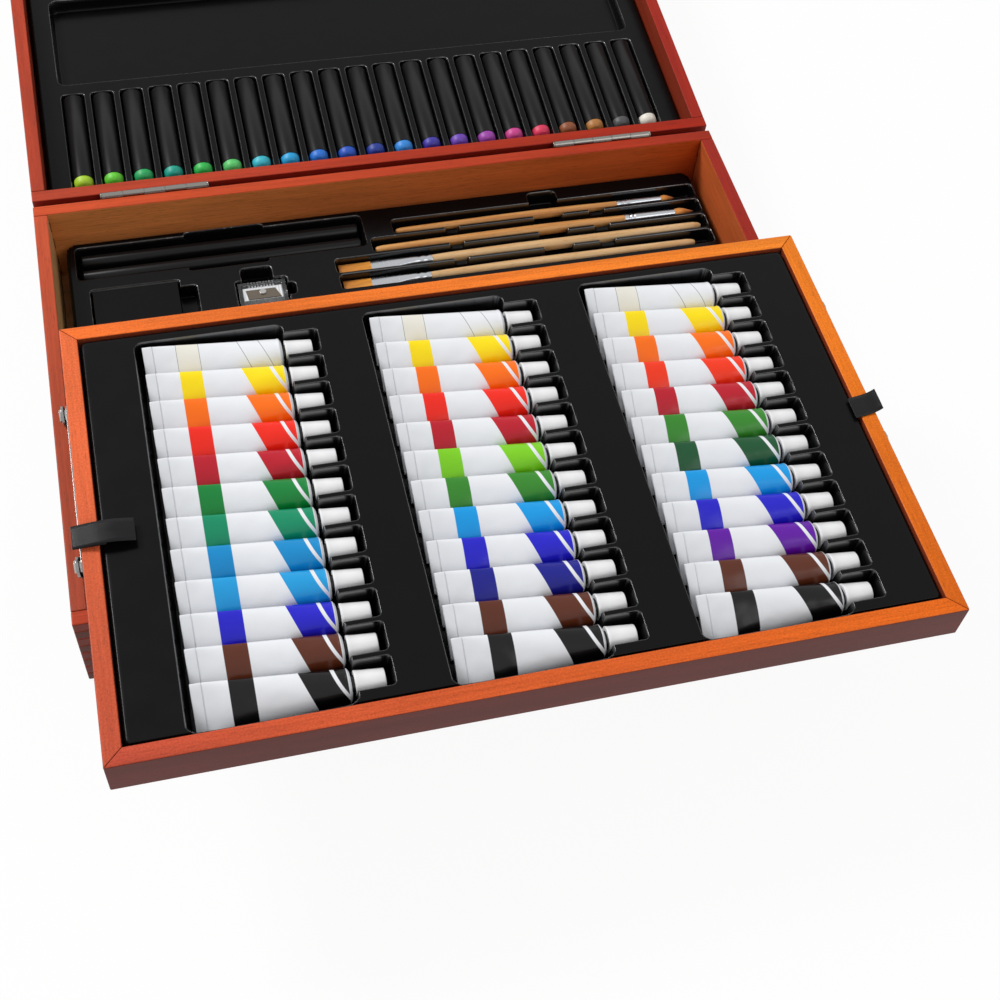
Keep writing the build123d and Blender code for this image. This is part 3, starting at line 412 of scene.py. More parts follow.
def lofted(sections, sides):
    """A skin over sections along X: x, half width, half thickness, turn, y, z and how round it is."""
    points = []
    for section in sections:
        x, wide, thick = section[:3]
        turn, y, z = (tuple(section[3:]) + (0.0, 0.0, 0.0))[:3]
        power = section[6] if len(section) > 6 else 1.0
        for k in range(sides):
            angle = 2 * math.pi * k / sides
            c, s = math.cos(angle), math.sin(angle)
            a = wide * math.copysign(abs(c) ** power, c)
            b = thick * math.copysign(abs(s) ** power, s)
            points.append((x, y + a * math.cos(turn) - b * math.sin(turn),
                           z + a * math.sin(turn) + b * math.cos(turn)))
    faces = []
    for ring in range(len(sections) - 1):
        low, high = ring * sides, (ring + 1) * sides
        faces += [(low + k, high + k, high + (k + 1) % sides, low + (k + 1) % sides) for k in range(sides)]
    faces.append(tuple(range(sides)))
    faces.append(tuple(range((len(sections) - 1) * sides, len(sections) * sides)))
    return points, faces


def joined(shapes):
    """Several lists of points and faces as one."""
    points, faces = [], []
    for more_points, more_faces in shapes:
        start = len(points)
        points += more_points
        faces += [tuple(i + start for i in face) for face in more_faces]
    return points, faces


def roughened(tree, shader, scale, detail, strength, depth):
    """A fine relief, up to a depth in millimetres, even or with a scale of its own along each axis."""
    place = (add(tree, "ShaderNodeTexCoord"), "Object")
    if isinstance(scale, tuple):
        place = (add(tree, "ShaderNodeMapping", None, {"Vector": place, "Scale": scale}), 0)
        scale = 1.0
    noise = add(tree, "ShaderNodeTexNoise", None, {"Vector": place, "Scale": scale, "Detail": detail})
    bump = add(tree, "ShaderNodeBump", None, {
        "Height": (noise, 0), "Strength": strength, "Distance": depth * MM})
    tree.links.new(bump.outputs[0], shader.inputs["Normal"])
    return noise


# Gloss lacquer on a turned rod: nearly black, with a soft highlight along it
black_lacquer, tree, shader = new_material(
    "black_lacquer", Base_Color=linear("#0c0c0d"), Roughness=0.3, IOR=1.5, Specular_IOR_Level=0.18)
roughened(tree, shader, (40.0, 900.0, 900.0), 2.0, 0.2, 0.05)
STICK_RADIUS = 4.2
STICK_Z = INSERT_TOP - STICK_DEPTH + STICK_RADIUS
sticks = []
for y in STICK_ROWS:
    left, right = STICK_SPAN
    sections = [(left, 3.3), (left + 0.3, 3.9), (left + 0.9, STICK_RADIUS), (right - 0.9, STICK_RADIUS),
                (right - 0.3, 3.9), (right, 3.3)]
    sticks.append(lofted([(x, r, r, 0.0, y, STICK_Z) for x, r in sections], 32))
stick_piece = make_mesh("drawing_sticks_lacquered", *joined(sticks), crisp=50)
stick_piece.data.materials.append(black_lacquer)
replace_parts(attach(stick_piece, "base"), "drawing_sticks")

# Four brushes lie in their channels: two round ones with tips to the right, two flat ones to the left.
# Each is a beech handle, a crimped aluminium ferrule and a lock of golden nylon hair.
BRUSH_Z = 24.1
BRUSH_RADIUS = 3.0


def clear_beech(name, pale, warm):
    """Beech under clear lacquer: pale, with fine flecks and lines along the handle."""
    material, tree, shader = new_material(
        name, Roughness=0.32, Specular_IOR_Level=0.3, Coat_Weight=0.06, Coat_Roughness=0.12)
    lines = roughened(tree, shader, (22.0, 520.0, 520.0), 3.0, 0.2, 0.05)
    coords = add(tree, "ShaderNodeTexCoord")
    short = add(tree, "ShaderNodeMapping", None, {
        "Vector": (coords, "Object"), "Scale": (250.0, 1800.0, 1800.0)})
    flecks = add(tree, "ShaderNodeTexNoise", None, {"Vector": (short, 0), "Scale": 1.0, "Detail": 1.0})
    fleck = add(tree, "ShaderNodeMapRange", None, {
        "Value": (flecks, 0), "From Min": 0.58, "From Max": 0.7, "To Min": 1.0, "To Max": 0.78})
    tone = add(tree, "ShaderNodeMapRange", None, {"Value": (lines, 0), "From Min": 0.32, "From Max": 0.68})
    wood = add(tree, "ShaderNodeMix", COLOURS, {0: (tone, 0), 6: linear(warm), 7: linear(pale)})
    toned(tree, shader, (wood, 2), fleck)
    return material


def brush_hair(name, root, tip, along_start, along_end):
    """Golden nylon hair: fine strands along the brush that darken towards the tip."""
    material, tree, shader = new_material(name, Roughness=0.5, Sheen_Weight=0.2)
    strands = roughened(tree, shader, (60.0, 2600.0, 2600.0), 2.0, 0.7, 0.25)
    coords = add(tree, "ShaderNodeTexCoord")
    split = add(tree, "ShaderNodeSeparateXYZ", None, {0: (coords, "Object")})
    towards = add(tree, "ShaderNodeMapRange", None, {
        "Value": (split, "X"), "From Min": along_start * MM, "From Max": along_end * MM})
    blend = add(tree, "ShaderNodeMath", {"operation": "ADD", "use_clamp": True}, {0: (towards, 0), 1: -0.2})
    hue = add(tree, "ShaderNodeMix", COLOURS, {0: (blend, 0), 6: linear(root), 7: linear(tip)})
    light = add(tree, "ShaderNodeMapRange", None, {
        "Value": (strands, 0), "From Min": 0.3, "From Max": 0.7, "To Min": 0.62, "To Max": 1.2})
    toned(tree, shader, (hue, 2), light)
    return material


warm_beech = clear_beech("natural_beech_warm", "#d8a060", "#bd7c3e")
pale_beech = clear_beech("natural_beech_pale", "#e2bd8c", "#cfa06a")
# Drawn aluminium tube, polished by the die: bright, with faint lines round it
ferrule_metal, tree, shader = new_material(
    "brush_ferrule_metal", Base_Color=linear("#b2b4b8"), Metallic=1.0, Roughness=0.22)
coords = add(tree, "ShaderNodeTexCoord")
stretch = add(tree, "ShaderNodeMapping", None, {
    "Vector": (coords, "Object"), "Scale": (1500.0, 120.0, 120.0)})
lines = add(tree, "ShaderNodeTexNoise", None, {"Vector": (stretch, 0), "Scale": 1.0, "Detail": 1.0})
dull = add(tree, "ShaderNodeMapRange", None, {"Value": (lines, 0), "To Min": 0.16, "To Max": 0.32})
tree.links.new(dull.outputs[0], shader.inputs["Roughness"])


def turned(start, long, profile, radius, y, sides=28):
    """A turned piece along X, from shares of its length and of its radius."""
    return lofted([(start + share * long, size * radius, size * radius, 0.0, y, BRUSH_Z)
                   for share, size in profile], sides)


def lay_brush(name, handle, wood, ferrule, lock, hair):
    """Lays a brush in the base: its handle, ferrule and lock of hair with their materials."""
    for part, shape, material, node, slot in (
            ("handle", handle, wood, "brush_handles", "natural_beech"),
            ("ferrule", ferrule, ferrule_metal, "brush_ferrules", "brush_ferrule_metal"),
            ("hair", lock, hair, "brush_bristles", "golden_hair")):
        piece = make_mesh(f"{name}_{part}", *shape)
        piece.data.materials.append(material)
        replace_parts(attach(piece, "base"), node)


ROUND_HANDLE = ((0, 0.3), (0.002, 0.5), (0.008, 0.68), (0.03, 0.82), (0.2, 0.95), (0.45, 1.08), (0.65, 1.14),
                (0.82, 1.08), (0.95, 0.93), (1.0, 0.88))
ROUND_LOCK = ((0, 0.78), (0.12, 0.9), (0.3, 0.95), (0.5, 0.78), (0.7, 0.48), (0.86, 0.24), (0.96, 0.08),
              (1.0, 0.02))
# Two crimped rings hold the ferrule on the handle, at places in millimetres from its end
CRIMPED = [(0, 0.97), (1.0, 1.0), (2.6, 1.0), (3.0, 0.9), (3.6, 0.9), (4.0, 1.0), (5.2, 1.0), (5.6, 0.9),
           (6.2, 0.9), (6.6, 1.0), (10.0, 0.99)]
for number, ((shares, thick), y) in enumerate(zip(ROUND_BRUSHES, BRUSH_ROWS[:2]), 1):
    left, ferrule, hair, tip = (insert_x(share) for share in shares)
    r = BRUSH_RADIUS * thick
    lay_brush(f"round_brush_{number}", turned(left, ferrule - left, ROUND_HANDLE, r, y), warm_beech,
              turned(ferrule, 1.0, CRIMPED + [(hair - ferrule, 0.86)], r, y),
              turned(hair, tip - hair, ROUND_LOCK, r, y, 24),
              brush_hair(f"golden_hair_round_{number}", "#e0903a", "#a34a10", hair, tip))

FLAT_HANDLE = ((0, 0.85), (0.06, 0.95), (0.3, 1.1), (0.6, 1.02), (0.9, 0.9), (0.97, 0.86), (0.99, 0.7),
               (0.998, 0.5), (1.0, 0.3))
FLAT_RINGS = ((0.76, 1.0), (0.78, 0.9), (0.81, 0.9), (0.83, 1.0), (0.88, 1.0), (0.9, 0.9), (0.93, 0.9),
              (0.95, 1.0), (1.0, 0.97))
for number, ((shares, thick), y) in enumerate(zip(FLAT_BRUSHES, BRUSH_ROWS[2:]), 1):
    tip, hair, ferrule, right = (insert_x(share) for share in shares)
    r = BRUSH_RADIUS * thick
    # The ferrule is pressed flat at the hair and stays round at the handle
    sections = []
    for share in (0, 0.1, 0.2, 0.3, 0.4, 0.5, 0.6, 0.7):
        flatness = float(eased(1 - share / 0.72))
        sections.append((hair + share * (ferrule - hair), r + (4.5 - r) * flatness,
                         r + (1.25 - r) * flatness, 0.0, y, BRUSH_Z, 1 - 0.35 * flatness))
    for share, size in FLAT_RINGS:
        sections.append((hair + share * (ferrule - hair), size * r, size * r, 0.0, y, BRUSH_Z, 1.0))
    lock = lofted([(tip + share * (hair - tip), 4.45 - 0.25 * share, 0.35 + 0.75 * share,
                    0.0, y, BRUSH_Z, 0.6) for share in (0, 0.03, 0.2, 0.5, 0.8, 1.0)], 32)
    lay_brush(f"flat_brush_{number}", turned(ferrule, right - ferrule, FLAT_HANDLE, r, y), pale_beech,
              lofted(sections, 28), lock,
              brush_hair(f"golden_hair_flat_{number}", "#c77a1c", "#e8981e", tip, hair))

# The eraser is a block of white vinyl in a card sleeve printed black, which leaves its front end bare.
# The sleeve is one folded and glued strip of coated card.
white_vinyl, tree, shader = new_material(
    "white_rubber", Base_Color=linear("#ecebe6"), Roughness=0.6, Subsurface_Weight=0.1)
roughened(tree, shader, 1 / (0.6 * MM), 3.0, 0.2, 0.1)
black_card, tree, shader = new_material(
    "black_card", Base_Color=linear("#0a0a0b"), Roughness=0.32, Specular_IOR_Level=0.08)
roughened(tree, shader, 1 / (1.2 * MM), 3.0, 0.25, 0.08)
dress("eraser_block", white_vinyl, 0.3)
dress("eraser_sleeve", black_card, 0.15)

# The sharpener has a steel blade screwed to a ribbed white body inside a clear moulded case.
# The case is polystyrene, polished in the mould.
clear_plastic, tree, shader = new_material(
    "clear_plastic", Base_Color=linear("#f4f7f8"), Roughness=0.06, IOR=1.59, Transmission_Weight=1.0)
ribbed_white, tree, shader = new_material(
    "ribbed_white_plastic", Base_Color=linear("#dadbdd"), Roughness=0.35, IOR=1.5)
coords = add(tree, "ShaderNodeTexCoord")
ribs = add(tree, "ShaderNodeTexWave", {"bands_direction": "X"}, {
    "Vector": (coords, "Object"), "Scale": 1 / (1.6 * MM) / 3.2, "Distortion": 0.0})
bump = add(tree, "ShaderNodeBump", None, {"Height": (ribs, 0), "Strength": 0.6, "Distance": 0.4 * MM})
tree.links.new(bump.outputs[0], shader.inputs["Normal"])


def bright_steel(name, colour, along):
    """Rolled steel, bright nickel plated: brushed faintly along one axis."""
    material, tree, shader = new_material(name, Base_Color=linear(colour), Metallic=1.0, Roughness=0.25)
    scale = tuple(30.0 if axis == along else 700.0 for axis in range(3))
    lines = roughened(tree, shader, scale, 2.0, 0.08, 0.05)
    dull = add(tree, "ShaderNodeMapRange", None, {"Value": (lines, 0), "To Min": 0.16, "To Max": 0.36})
    tree.links.new(dull.outputs[0], shader.inputs["Roughness"])
    return material


plated_steel = bright_steel("bright_steel", "#b0aeab", 0)
blade_steel = bright_steel("blade_steel", "#6e655b", 0)
dress("sharpener_housing", clear_plastic, 0.5, 3)
dress("sharpener_screw", plated_steel, 0.2)


def slab(x0, x1, y0, y1, z0, z1, r):
    """Points and faces of a block whose upright corners are rounded and whose ends are eased."""
    ease = min(r, (z1 - z0) / 4) * 0.6
    points = []
    count = 5
    for z, inset in ((z0, ease), (z0 + ease, 0), (z1 - ease, 0), (z1, ease)):
        for turn, (sx, sy) in enumerate(((1, 1), (-1, 1), (-1, -1), (1, -1))):
            cx = (x0 + x1) / 2 + sx * ((x1 - x0) / 2 - r)
            cy = (y0 + y1) / 2 + sy * ((y1 - y0) / 2 - r)
            for step in range(count):
                angle = math.pi / 2 * (turn + step / (count - 1))
                points.append((cx + (r - inset) * math.cos(angle), cy + (r - inset) * math.sin(angle), z))
    ring = 4 * count
    faces = [(a * ring + k, a * ring + (k + 1) % ring, (a + 1) * ring + (k + 1) % ring, (a + 1) * ring + k)
             for a in range(3) for k in range(ring)]
    faces += [tuple(range(ring)), tuple(range(3 * ring, 4 * ring))]
    return points, faces


x0, x1, y0, y1 = SHARPENER
floor = INSERT_TOP - ITEM_DEPTH
case_top = floor + 10.0
body = [slab(x0 + 2.2, x1 - 2.2, y0 + 3.8, y1 - 3.6, floor + 1.0, case_top - 0.55, 0.8)]
# Grip ribs stand along the body's back edge
for i in range(9):
    x = x0 + 6.0 + i * 1.7
    body.append(slab(x, x + 0.8, y1 - 3.7, y1 - 2.3, floor + 2.0, case_top - 0.8, 0.3))
core = make_mesh("sharpener_core", *joined(body))
core.data.materials.append(ribbed_white)
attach(core, "base")
# The blade is ground to a slant at its right end
low, high = case_top - 0.5, case_top - 0.05
outline = ((x0 + 5.0, y0 + 4.6), (x1 - 3.6, y0 + 4.6), (x1 - 6.4, y1 - 6.0), (x0 + 4.0, y1 - 6.0))
blade = make_mesh("sharpener_blade_ground", [(x, y, z) for z in (low, high) for x, y in outline],
                  [(3, 2, 1, 0), (4, 5, 6, 7)] + [(k, (k + 1) % 4, (k + 1) % 4 + 4, k + 4) for k in range(4)])
blade.data.materials.append(blade_steel)
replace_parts(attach(blade, "base"), "sharpener_blade")

# Two narrow butt hinges of rolled steel join the lid to the base, with flanged pins.
# Their leaves are screwed to the outer faces of the two back walls, so only the barrels show.
hinge_steel = bright_steel("bright_steel_hinge", "#86837e", 0)
for name in ("hinge_leaves_base", "hinge_leaves_lid", "hinge_pins"):
    dress(name, hinge_steel, 0.4, 3)


def screw_heads(name, places, place, body):
    """Round screw heads with a slot: each is a middle, the direction it faces and its radius."""
    points, faces = [], []
    for middle, facing, radius in places:
        away = Vector(facing).normalized()
        side = away.orthogonal().normalized()
        across = away.cross(side)
        half_slot = 0.16 * radius
        start = len(points)
        sides = 20
        for height, size in ((0.0, 1.0), (0.12, 1.0), (0.3, 0.8), (0.38, 0.5)):
            for k in range(sides):
                angle = 2 * math.pi * (k + 0.5) / sides
                spot = Vector(middle) + away * height * radius
                outward = side * math.cos(angle) + across * math.sin(angle)
                points.append(tuple(spot + outward * size * radius))
        faces += [(start + a * sides + k, start + a * sides + (k + 1) % sides,
                   start + (a + 1) * sides + (k + 1) % sides, start + (a + 1) * sides + k)
                  for a in range(3) for k in range(sides)]
        faces.append(tuple(start + k for k in range(sides)))
        # The slot is a dark bar let into the crown
        crown = start + 3 * sides
        faces.append(tuple(crown + k for k in range(sides)))
        bar = len(points)
        for height in (0.3, 0.4):
            for u, v in ((-0.75, -half_slot / radius), (0.75, -half_slot / radius),
                         (0.75, half_slot / radius), (-0.75, half_slot / radius)):
                points.append(tuple(Vector(middle) + away * height * radius
                                    + (side * u + across * v) * radius))
        faces += [(bar, bar + 1, bar + 5, bar + 4), (bar + 1, bar + 2, bar + 6, bar + 5),
                  (bar + 2, bar + 3, bar + 7, bar + 6), (bar + 3, bar, bar + 4, bar + 7),
                  (bar + 4, bar + 5, bar + 6, bar + 7), (bar + 3, bar + 2, bar + 1, bar)]
    piece = make_mesh(name, points, faces, place)
    piece.data.materials.append(plated_steel)
    piece.data.materials.append(black_lacquer)
    per_screw = len(faces) // len(places)
    for i, face in enumerate(piece.data.polygons):
        face.material_index = 1 if i % per_screw >= per_screw - 6 else 0
    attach(piece, body)


HINGE_X = 400.0 * 0.331
HINGE_Y, HINGE_Z = BOX_DEPTH / 2 + 1.95, BASE_HEIGHT + 0.2
OPEN_TILT = math.radians(5)
hinge_line = Matrix.Translation((0, HINGE_Y, HINGE_Z))
lid_turn = hinge_line @ Matrix.Rotation(OPEN_TILT, 4, "X") @ hinge_line.inverted()
lid_place = lid_turn @ Matrix.Translation((0, BOX_DEPTH + 3.9, 22.0))
screw_spots = [side * HINGE_X + offset for side in (-1, 1) for offset in (-23.0, 0.0, 23.0)]
for body, y, facing, place in (("base", BOX_DEPTH / 2 + 0.9, 1, still),
                               ("lid", BOX_DEPTH / 2 + 3.0, -1, lid_turn)):
    screw_heads(f"hinge_screws_{body}", [((x, y, HINGE_Z - 8.5), (0, facing, 0), 1.5) for x in screw_spots],
                place, body)

# The lid is made as the base is, with lower walls, and lies open on its back.
# Its panel is let into the edges that are below when it lies open.
lid_frame = Matrix.Scale(MM, 4) @ lid_place.inverted() @ Matrix.Scale(1 / MM, 4)
# Each lid wall's side colour is painted shade on its outer faces, and its rim shifts in tone as painted light
for wall, along, rim, side, inside in (
        ("back", 0, ("#b8442a", "#ac260e"), "#8c2214", ("#8c3420", "#8c3420")),
        ("front", 0, ("#b8442a", "#ac260e"), "#7c2214", ("#8c3420", "#8c3420")),
        ("left", 1, ("#a83c24", "#a83c24"), "#7c2214", ("#8c3420", "#8c3420")),
        ("right", 1, ("#a22616", "#a22616"), "#821a12", ("#8c3420", "#8c3420"))):
    wood = board(f"stained_red_wood_lid_{wall}", along, rim, side, inside, lid_frame, box_hollow)
    dress(f"lid_{wall}_wall", wood, 0.7, 3)

# The lid's insert is another black formed sheet: a channel for each pastel and two long wells.
# It is held in the lid by its tight fit between the walls.
PASTELS = 21
PASTEL_PITCH = 17.15
PASTEL_START = 19.5 - BOX_DEPTH / 2
PASTEL_LENGTH = 70.0
lid_pockets = []
for i in range(PASTELS):
    x = (i - (PASTELS - 1) / 2) * PASTEL_PITCH
    lid_pockets.append((x - 6.3, x + 6.3, PASTEL_START - 2.0, PASTEL_START + PASTEL_LENGTH + 2.0, 9.6, 2.0))
row_end = PASTEL_START + PASTEL_LENGTH + 2.0
far = INNER_HALF_DEPTH - 14.0
well = (far - row_end - 18.0) / 2
for y0 in (row_end + 9.0, far - well):
    lid_pockets.append((14.0 - INNER_HALF_WIDTH, INNER_HALF_WIDTH - 14.0, y0, y0 + well, 8.0, 5.0))
lid_insert = formed_sheet("lid_insert_formed", INNER_HALF_WIDTH - 0.6, INNER_HALF_DEPTH - 0.6, 4.0, 17.0, 8.0,
                          lid_pockets, lid_place)
lid_insert.data.materials.append(black_plastic)
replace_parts(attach(lid_insert, "lid"), "lid_insert")

# Twenty-one oil pastels lie side by side in the lid, each in a black paper sleeve.
# They are cast sticks of wax, oil and pigment with rounded tips, bare at the hinge side.


def oil_wax(name, colour):
    """Oil pastel: a soft waxy solid, slightly mottled and smeared, with a dull shine."""
    material, tree, shader = new_material(name, Roughness=0.45, Subsurface_Weight=0.08, IOR=1.45)
    shader.inputs["Subsurface Radius"].default_value = (0.002, 0.002, 0.002)
    smear = roughened(tree, shader, 1 / (2.5 * MM), 3.0, 0.3, 0.2)
    tone = add(tree, "ShaderNodeMapRange", None, {
        "Value": (smear, 0), "From Min": 0.3, "From Max": 0.7, "To Min": 0.86, "To Max": 1.08})
    toned(tree, shader, linear(colour), tone)
    return material


PASTEL_COLOURS = ("#a8cf2c", "#5fc62e", "#1fa058", "#0f9a86", "#2bb34c", "#58c56a", "#35b6c8", "#1d9ed6",
                  "#1f6fd0", "#1a4fb8", "#16338f", "#2f86d8", "#3a2f9c", "#6a3fb0", "#9a3fa6", "#c8408c",
                  "#d8345a", "#8a4a26", "#b0763a", "#4a4a4c", "#e9e4d8")
PASTEL_Z = 13.3
TIP = [(0.0, 1.6), (0.25, 3.0), (0.8, 4.2), (1.7, 5.0), (3.0, 5.5), (4.2, 5.6), (6.4, 5.6)]
WRAP = [(6.0, 5.62), (6.02, 5.9), (6.3, 5.9), (PASTEL_LENGTH - 0.3, 5.9), (PASTEL_LENGTH, 5.6)]
pastel_sleeves = []
along_y = Matrix.Rotation(math.pi / 2, 4, "Z")
for i, colour in enumerate(PASTEL_COLOURS):
    x = (i - (PASTELS - 1) / 2) * PASTEL_PITCH
    spot = Matrix.Translation((x, PASTEL_START, PASTEL_Z)) @ along_y
    stick = make_mesh(f"pastel_{i + 1:02d}_{colour[1:]}", *lofted([(a, r, r) for a, r in TIP], 28),
                      lid_place @ spot, crisp=60)
    stick.data.materials.append(oil_wax(f"oil_pastel_{colour[1:]}", colour))
    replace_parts(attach(stick, "lid"), "pastel_sticks")
    points, faces = lofted([(a, r, r) for a, r in WRAP], 28)
    pastel_sleeves.append(([tuple(spot @ Vector(p)) for p in points], faces))
# Thin coated paper, printed black: a satin skin with a faint rib from the paper machine
black_paper, tree, shader = new_material(
    "black_paper", Base_Color=linear("#0d0d0e"), Roughness=0.34, Specular_IOR_Level=0.15)
roughened(tree, shader, 1 / (0.8 * MM), 3.0, 0.25, 0.06)
sleeve_piece = make_mesh("pastel_sleeves_wrapped", *joined(pastel_sleeves), lid_place, crisp=60)
sleeve_piece.data.materials.append(black_paper)
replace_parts(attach(sleeve_piece, "lid"), "pastel_sleeves")

# The tray has four mitred rails, 8 mm thick, round a thin panel.
# The rails are stained orange on top, where short grain speckles them, and are painted a dark red outside as
# shade.
TRAY_HALF_WIDTH = 187.0
TRAY_HALF_DEPTH = 116.25
TRAY_TOP = 109.0
TRAY_Y = -124.0
tray_place = Matrix.Translation((0, TRAY_Y, TRAY_TOP))
tray_frame = Matrix.Translation((0, -TRAY_Y * MM, -TRAY_TOP * MM))
TRAY_RAIL = 8.0
tray_hollow = (TRAY_HALF_WIDTH - TRAY_RAIL, TRAY_HALF_DEPTH - TRAY_RAIL)
# Each rail's rim colour differs and shifts along it as painted light, and its side colour is painted shade
for rail, along, rim, side in (
        ("back", 0, ("#ee702c", "#f08426"), "#6c2416"), ("front", 0, ("#c04c34", "#ea6c18"), "#5e1d12"),
        ("left", 1, ("#c85436", "#e66c3a"), "#6c2418"), ("right", 1, ("#da6614", "#f0801e"), "#742418")):
    wood = board(f"stained_orange_wood_{rail}", along, rim, side, ("#8a3c24", "#8a3c24"), tray_frame,
                 tray_hollow, 0.12)
    dress(f"tray_{rail}_rail", wood, 0.6, 3)

# The tray's insert is a third formed sheet: three pockets with a notch for each tube's cap.
# Rounded teeth between the notches keep the tubes apart.
TUBES = 12
TUBE_PITCH = 16.74
TUBE_BODY = 66.0
CAP_LENGTH = 14.0
TRAY_POCKET = 15.5


def tube_y(row):
    """The middle line of a tube, counted from the back."""
    return -2.5 + ((TUBES - 1) / 2 - row) * TUBE_PITCH


def column_left(column):
    """Where a column's tubes start, counted from the left."""
    return (column - 1) * 0.294 * 2 * TRAY_HALF_WIDTH - (TUBE_BODY + CAP_LENGTH) / 2


tray_pockets = []
for column in range(3):
    left = column_left(column)
    shoulder = left + TUBE_BODY
    tray_pockets.append((left - 3.0, shoulder + 0.8, tube_y(TUBES - 1) - 12.0, tube_y(0) + 12.0,
                         TRAY_POCKET, 4.0))
    for row in range(TUBES):
        y = tube_y(row)
        tray_pockets.append((shoulder - 1.5, shoulder + CAP_LENGTH + 3.0, y - 6.6, y + 6.6, TRAY_POCKET, 1.6))
tray_insert = formed_sheet("tray_insert_formed", TRAY_HALF_WIDTH - 8.3, TRAY_HALF_DEPTH - 8.3, 3.0, -1.2, 4.0,
                           tray_pockets, tray_place)
tray_insert.data.materials.append(black_plastic)
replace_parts(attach(tray_insert, "tray"), "tray_insert")

# Thirty-six paint tubes: thin aluminium, pressed flat and folded over at the crimp, round at the shoulder.
# They are enamelled white, with a band and a slanted block in the colour of the paint inside.
TILT = math.radians(32)
TUBE_Z = -8.9


def enamelled(name, paint, outlined):
    """White stoving enamel on soft aluminium, printed with a band and a slanted block."""
    material, tree, shader = new_material(name, Roughness=0.24, IOR=1.5, Specular_IOR_Level=0.28)
    print_place = add(tree, "ShaderNodeAttribute", {"attribute_name": "printing"})
    split = add(tree, "ShaderNodeSeparateXYZ", None, {0: (print_place, "Vector")})

    def between(value, low, high, soft=0.12):
        rise = add(tree, "ShaderNodeMapRange", None, {
            "Value": value, "From Min": low - soft, "From Max": low + soft})
        fall = add(tree, "ShaderNodeMapRange", None, {
            "Value": value, "From Min": high - soft, "From Max": high + soft, "To Min": 1.0, "To Max": 0.0})
        return add(tree, "ShaderNodeMath", TIMES, {0: (rise, 0), 1: (fall, 0)})

    # The block's left edge leans: the place along the tube is shifted by the place across it
    lean = add(tree, "ShaderNodeMath", {"operation": "MULTIPLY_ADD"}, {
        0: (split, "Y"), 1: 3.3, 2: (split, "X")})
    bow = add(tree, "ShaderNodeMath", TIMES, {0: (split, "Y"), 1: (split, "Y")})
    sweep = add(tree, "ShaderNodeMath", {"operation": "MULTIPLY_ADD"}, {
        0: (split, "Y"), 1: 4.0, 2: (split, "X")})
    sweep = add(tree, "ShaderNodeMath", {"operation": "SUBTRACT"}, {0: (sweep, 0), 1: (bow, 0)})
    band = between((split, "X"), 15.7, 26.1)
    start = between((lean, 0), 47.6, 90.0)
    stop = between((split, "X"), 30.0, 64.0)
    block = add(tree, "ShaderNodeMath", TIMES, {0: (start, 0), 1: (stop, 0)})
    stripe = between((sweep, 0), 60.4, 62.1)
    unstriped = add(tree, "ShaderNodeMath", {"operation": "SUBTRACT"}, {0: 1.0, 1: (stripe, 0)})
    block = add(tree, "ShaderNodeMath", TIMES, {0: (block, 0), 1: (unstriped, 0)})
    if outlined:
        printed = add(tree, "ShaderNodeMath", TIMES, {0: (band, 0), 1: 0.75})
    else:
        printed = add(tree, "ShaderNodeMath", {"operation": "MAXIMUM"}, {0: (band, 0), 1: (block, 0)})
    colour = add(tree, "ShaderNodeMix", COLOURS, {
        0: (printed, 0), 6: linear("#e6e8ec"), 7: linear(paint)})
    # The white paint's tube has fine grey outlines where the others have their colour
    rules = [between((split, "X"), place, place + 0.25, 0.08) for place in (15.5, 26.1)]
    rules += [between((lean, 0), place, place + 0.3, 0.08) for place in (47.6, 57.5)]
    for rule in rules if outlined else ():
        faint = add(tree, "ShaderNodeMath", TIMES, {0: (rule, 0), 1: 0.75})
        colour = add(tree, "ShaderNodeMix", COLOURS, {
            0: (faint, 0), 6: (colour, 2), 7: linear("#54565c")})
    # Under the cap the neck is painted near black: painted shade where the bare metal lies in the cap's
    # shadow
    neck = between((split, "X"), 65.4, 70.0, 0.05)
    neck_painted_shade = add(tree, "ShaderNodeMix", COLOURS, {
        0: (neck, 0), 6: (colour, 2), 7: linear("#1c1c1e")})
    tree.links.new(neck_painted_shade.outputs[2], shader.inputs["Base Color"])
    # Soft dents, about as wide as a fingertip
    roughened(tree, shader, 1 / (12 * MM), 1.5, 0.6, 1.2)
    return material


PAINTS = {
    "white": "#e6e1d2", "yellow": "#f8dc10", "orange": "#f87010", "red": "#ee2818", "vermilion": "#f03818",
    "crimson": "#b8182a", "green": "#0c7f36", "lime": "#7ccc20", "sap_green": "#35852a",
    "dark_green": "#14502c", "viridian": "#0b8a62", "cerulean": "#1089c8", "sky_blue": "#1098e0",
    "light_blue": "#1f9ad8", "ultramarine": "#221ec4", "violet": "#6010a0", "navy": "#161a88",
    "brown": "#5a2a18", "black": "#08080a",
}
COLUMNS = (
    ("left", ("white", "yellow", "orange", "red", "crimson", "green", "viridian", "cerulean", "light_blue",
              "ultramarine", "brown", "black")),
    ("middle", ("white", "yellow", "orange", "red", "crimson", "lime", "sap_green", "sky_blue", "ultramarine",
                "navy", "brown", "black")),
    ("right", ("white", "yellow", "orange", "vermilion", "crimson", "sap_green", "dark_green", "sky_blue",
               "ultramarine", "violet", "brown", "black")),
)
enamels = {name: enamelled(f"enamelled_tube_{name}", paint, name == "white")
           for name, paint in PAINTS.items()}
# White polypropylene caps, moulded and slightly translucent
cap_plastic, tree, shader = new_material(
    "white_cap_plastic", Base_Color=linear("#eeeeef"), Roughness=0.34, IOR=1.49, Subsurface_Weight=0.1)
shader.inputs["Subsurface Radius"].default_value = (0.001, 0.001, 0.001)
roughened(tree, shader, 1 / (0.7 * MM), 2.0, 0.12, 0.05)

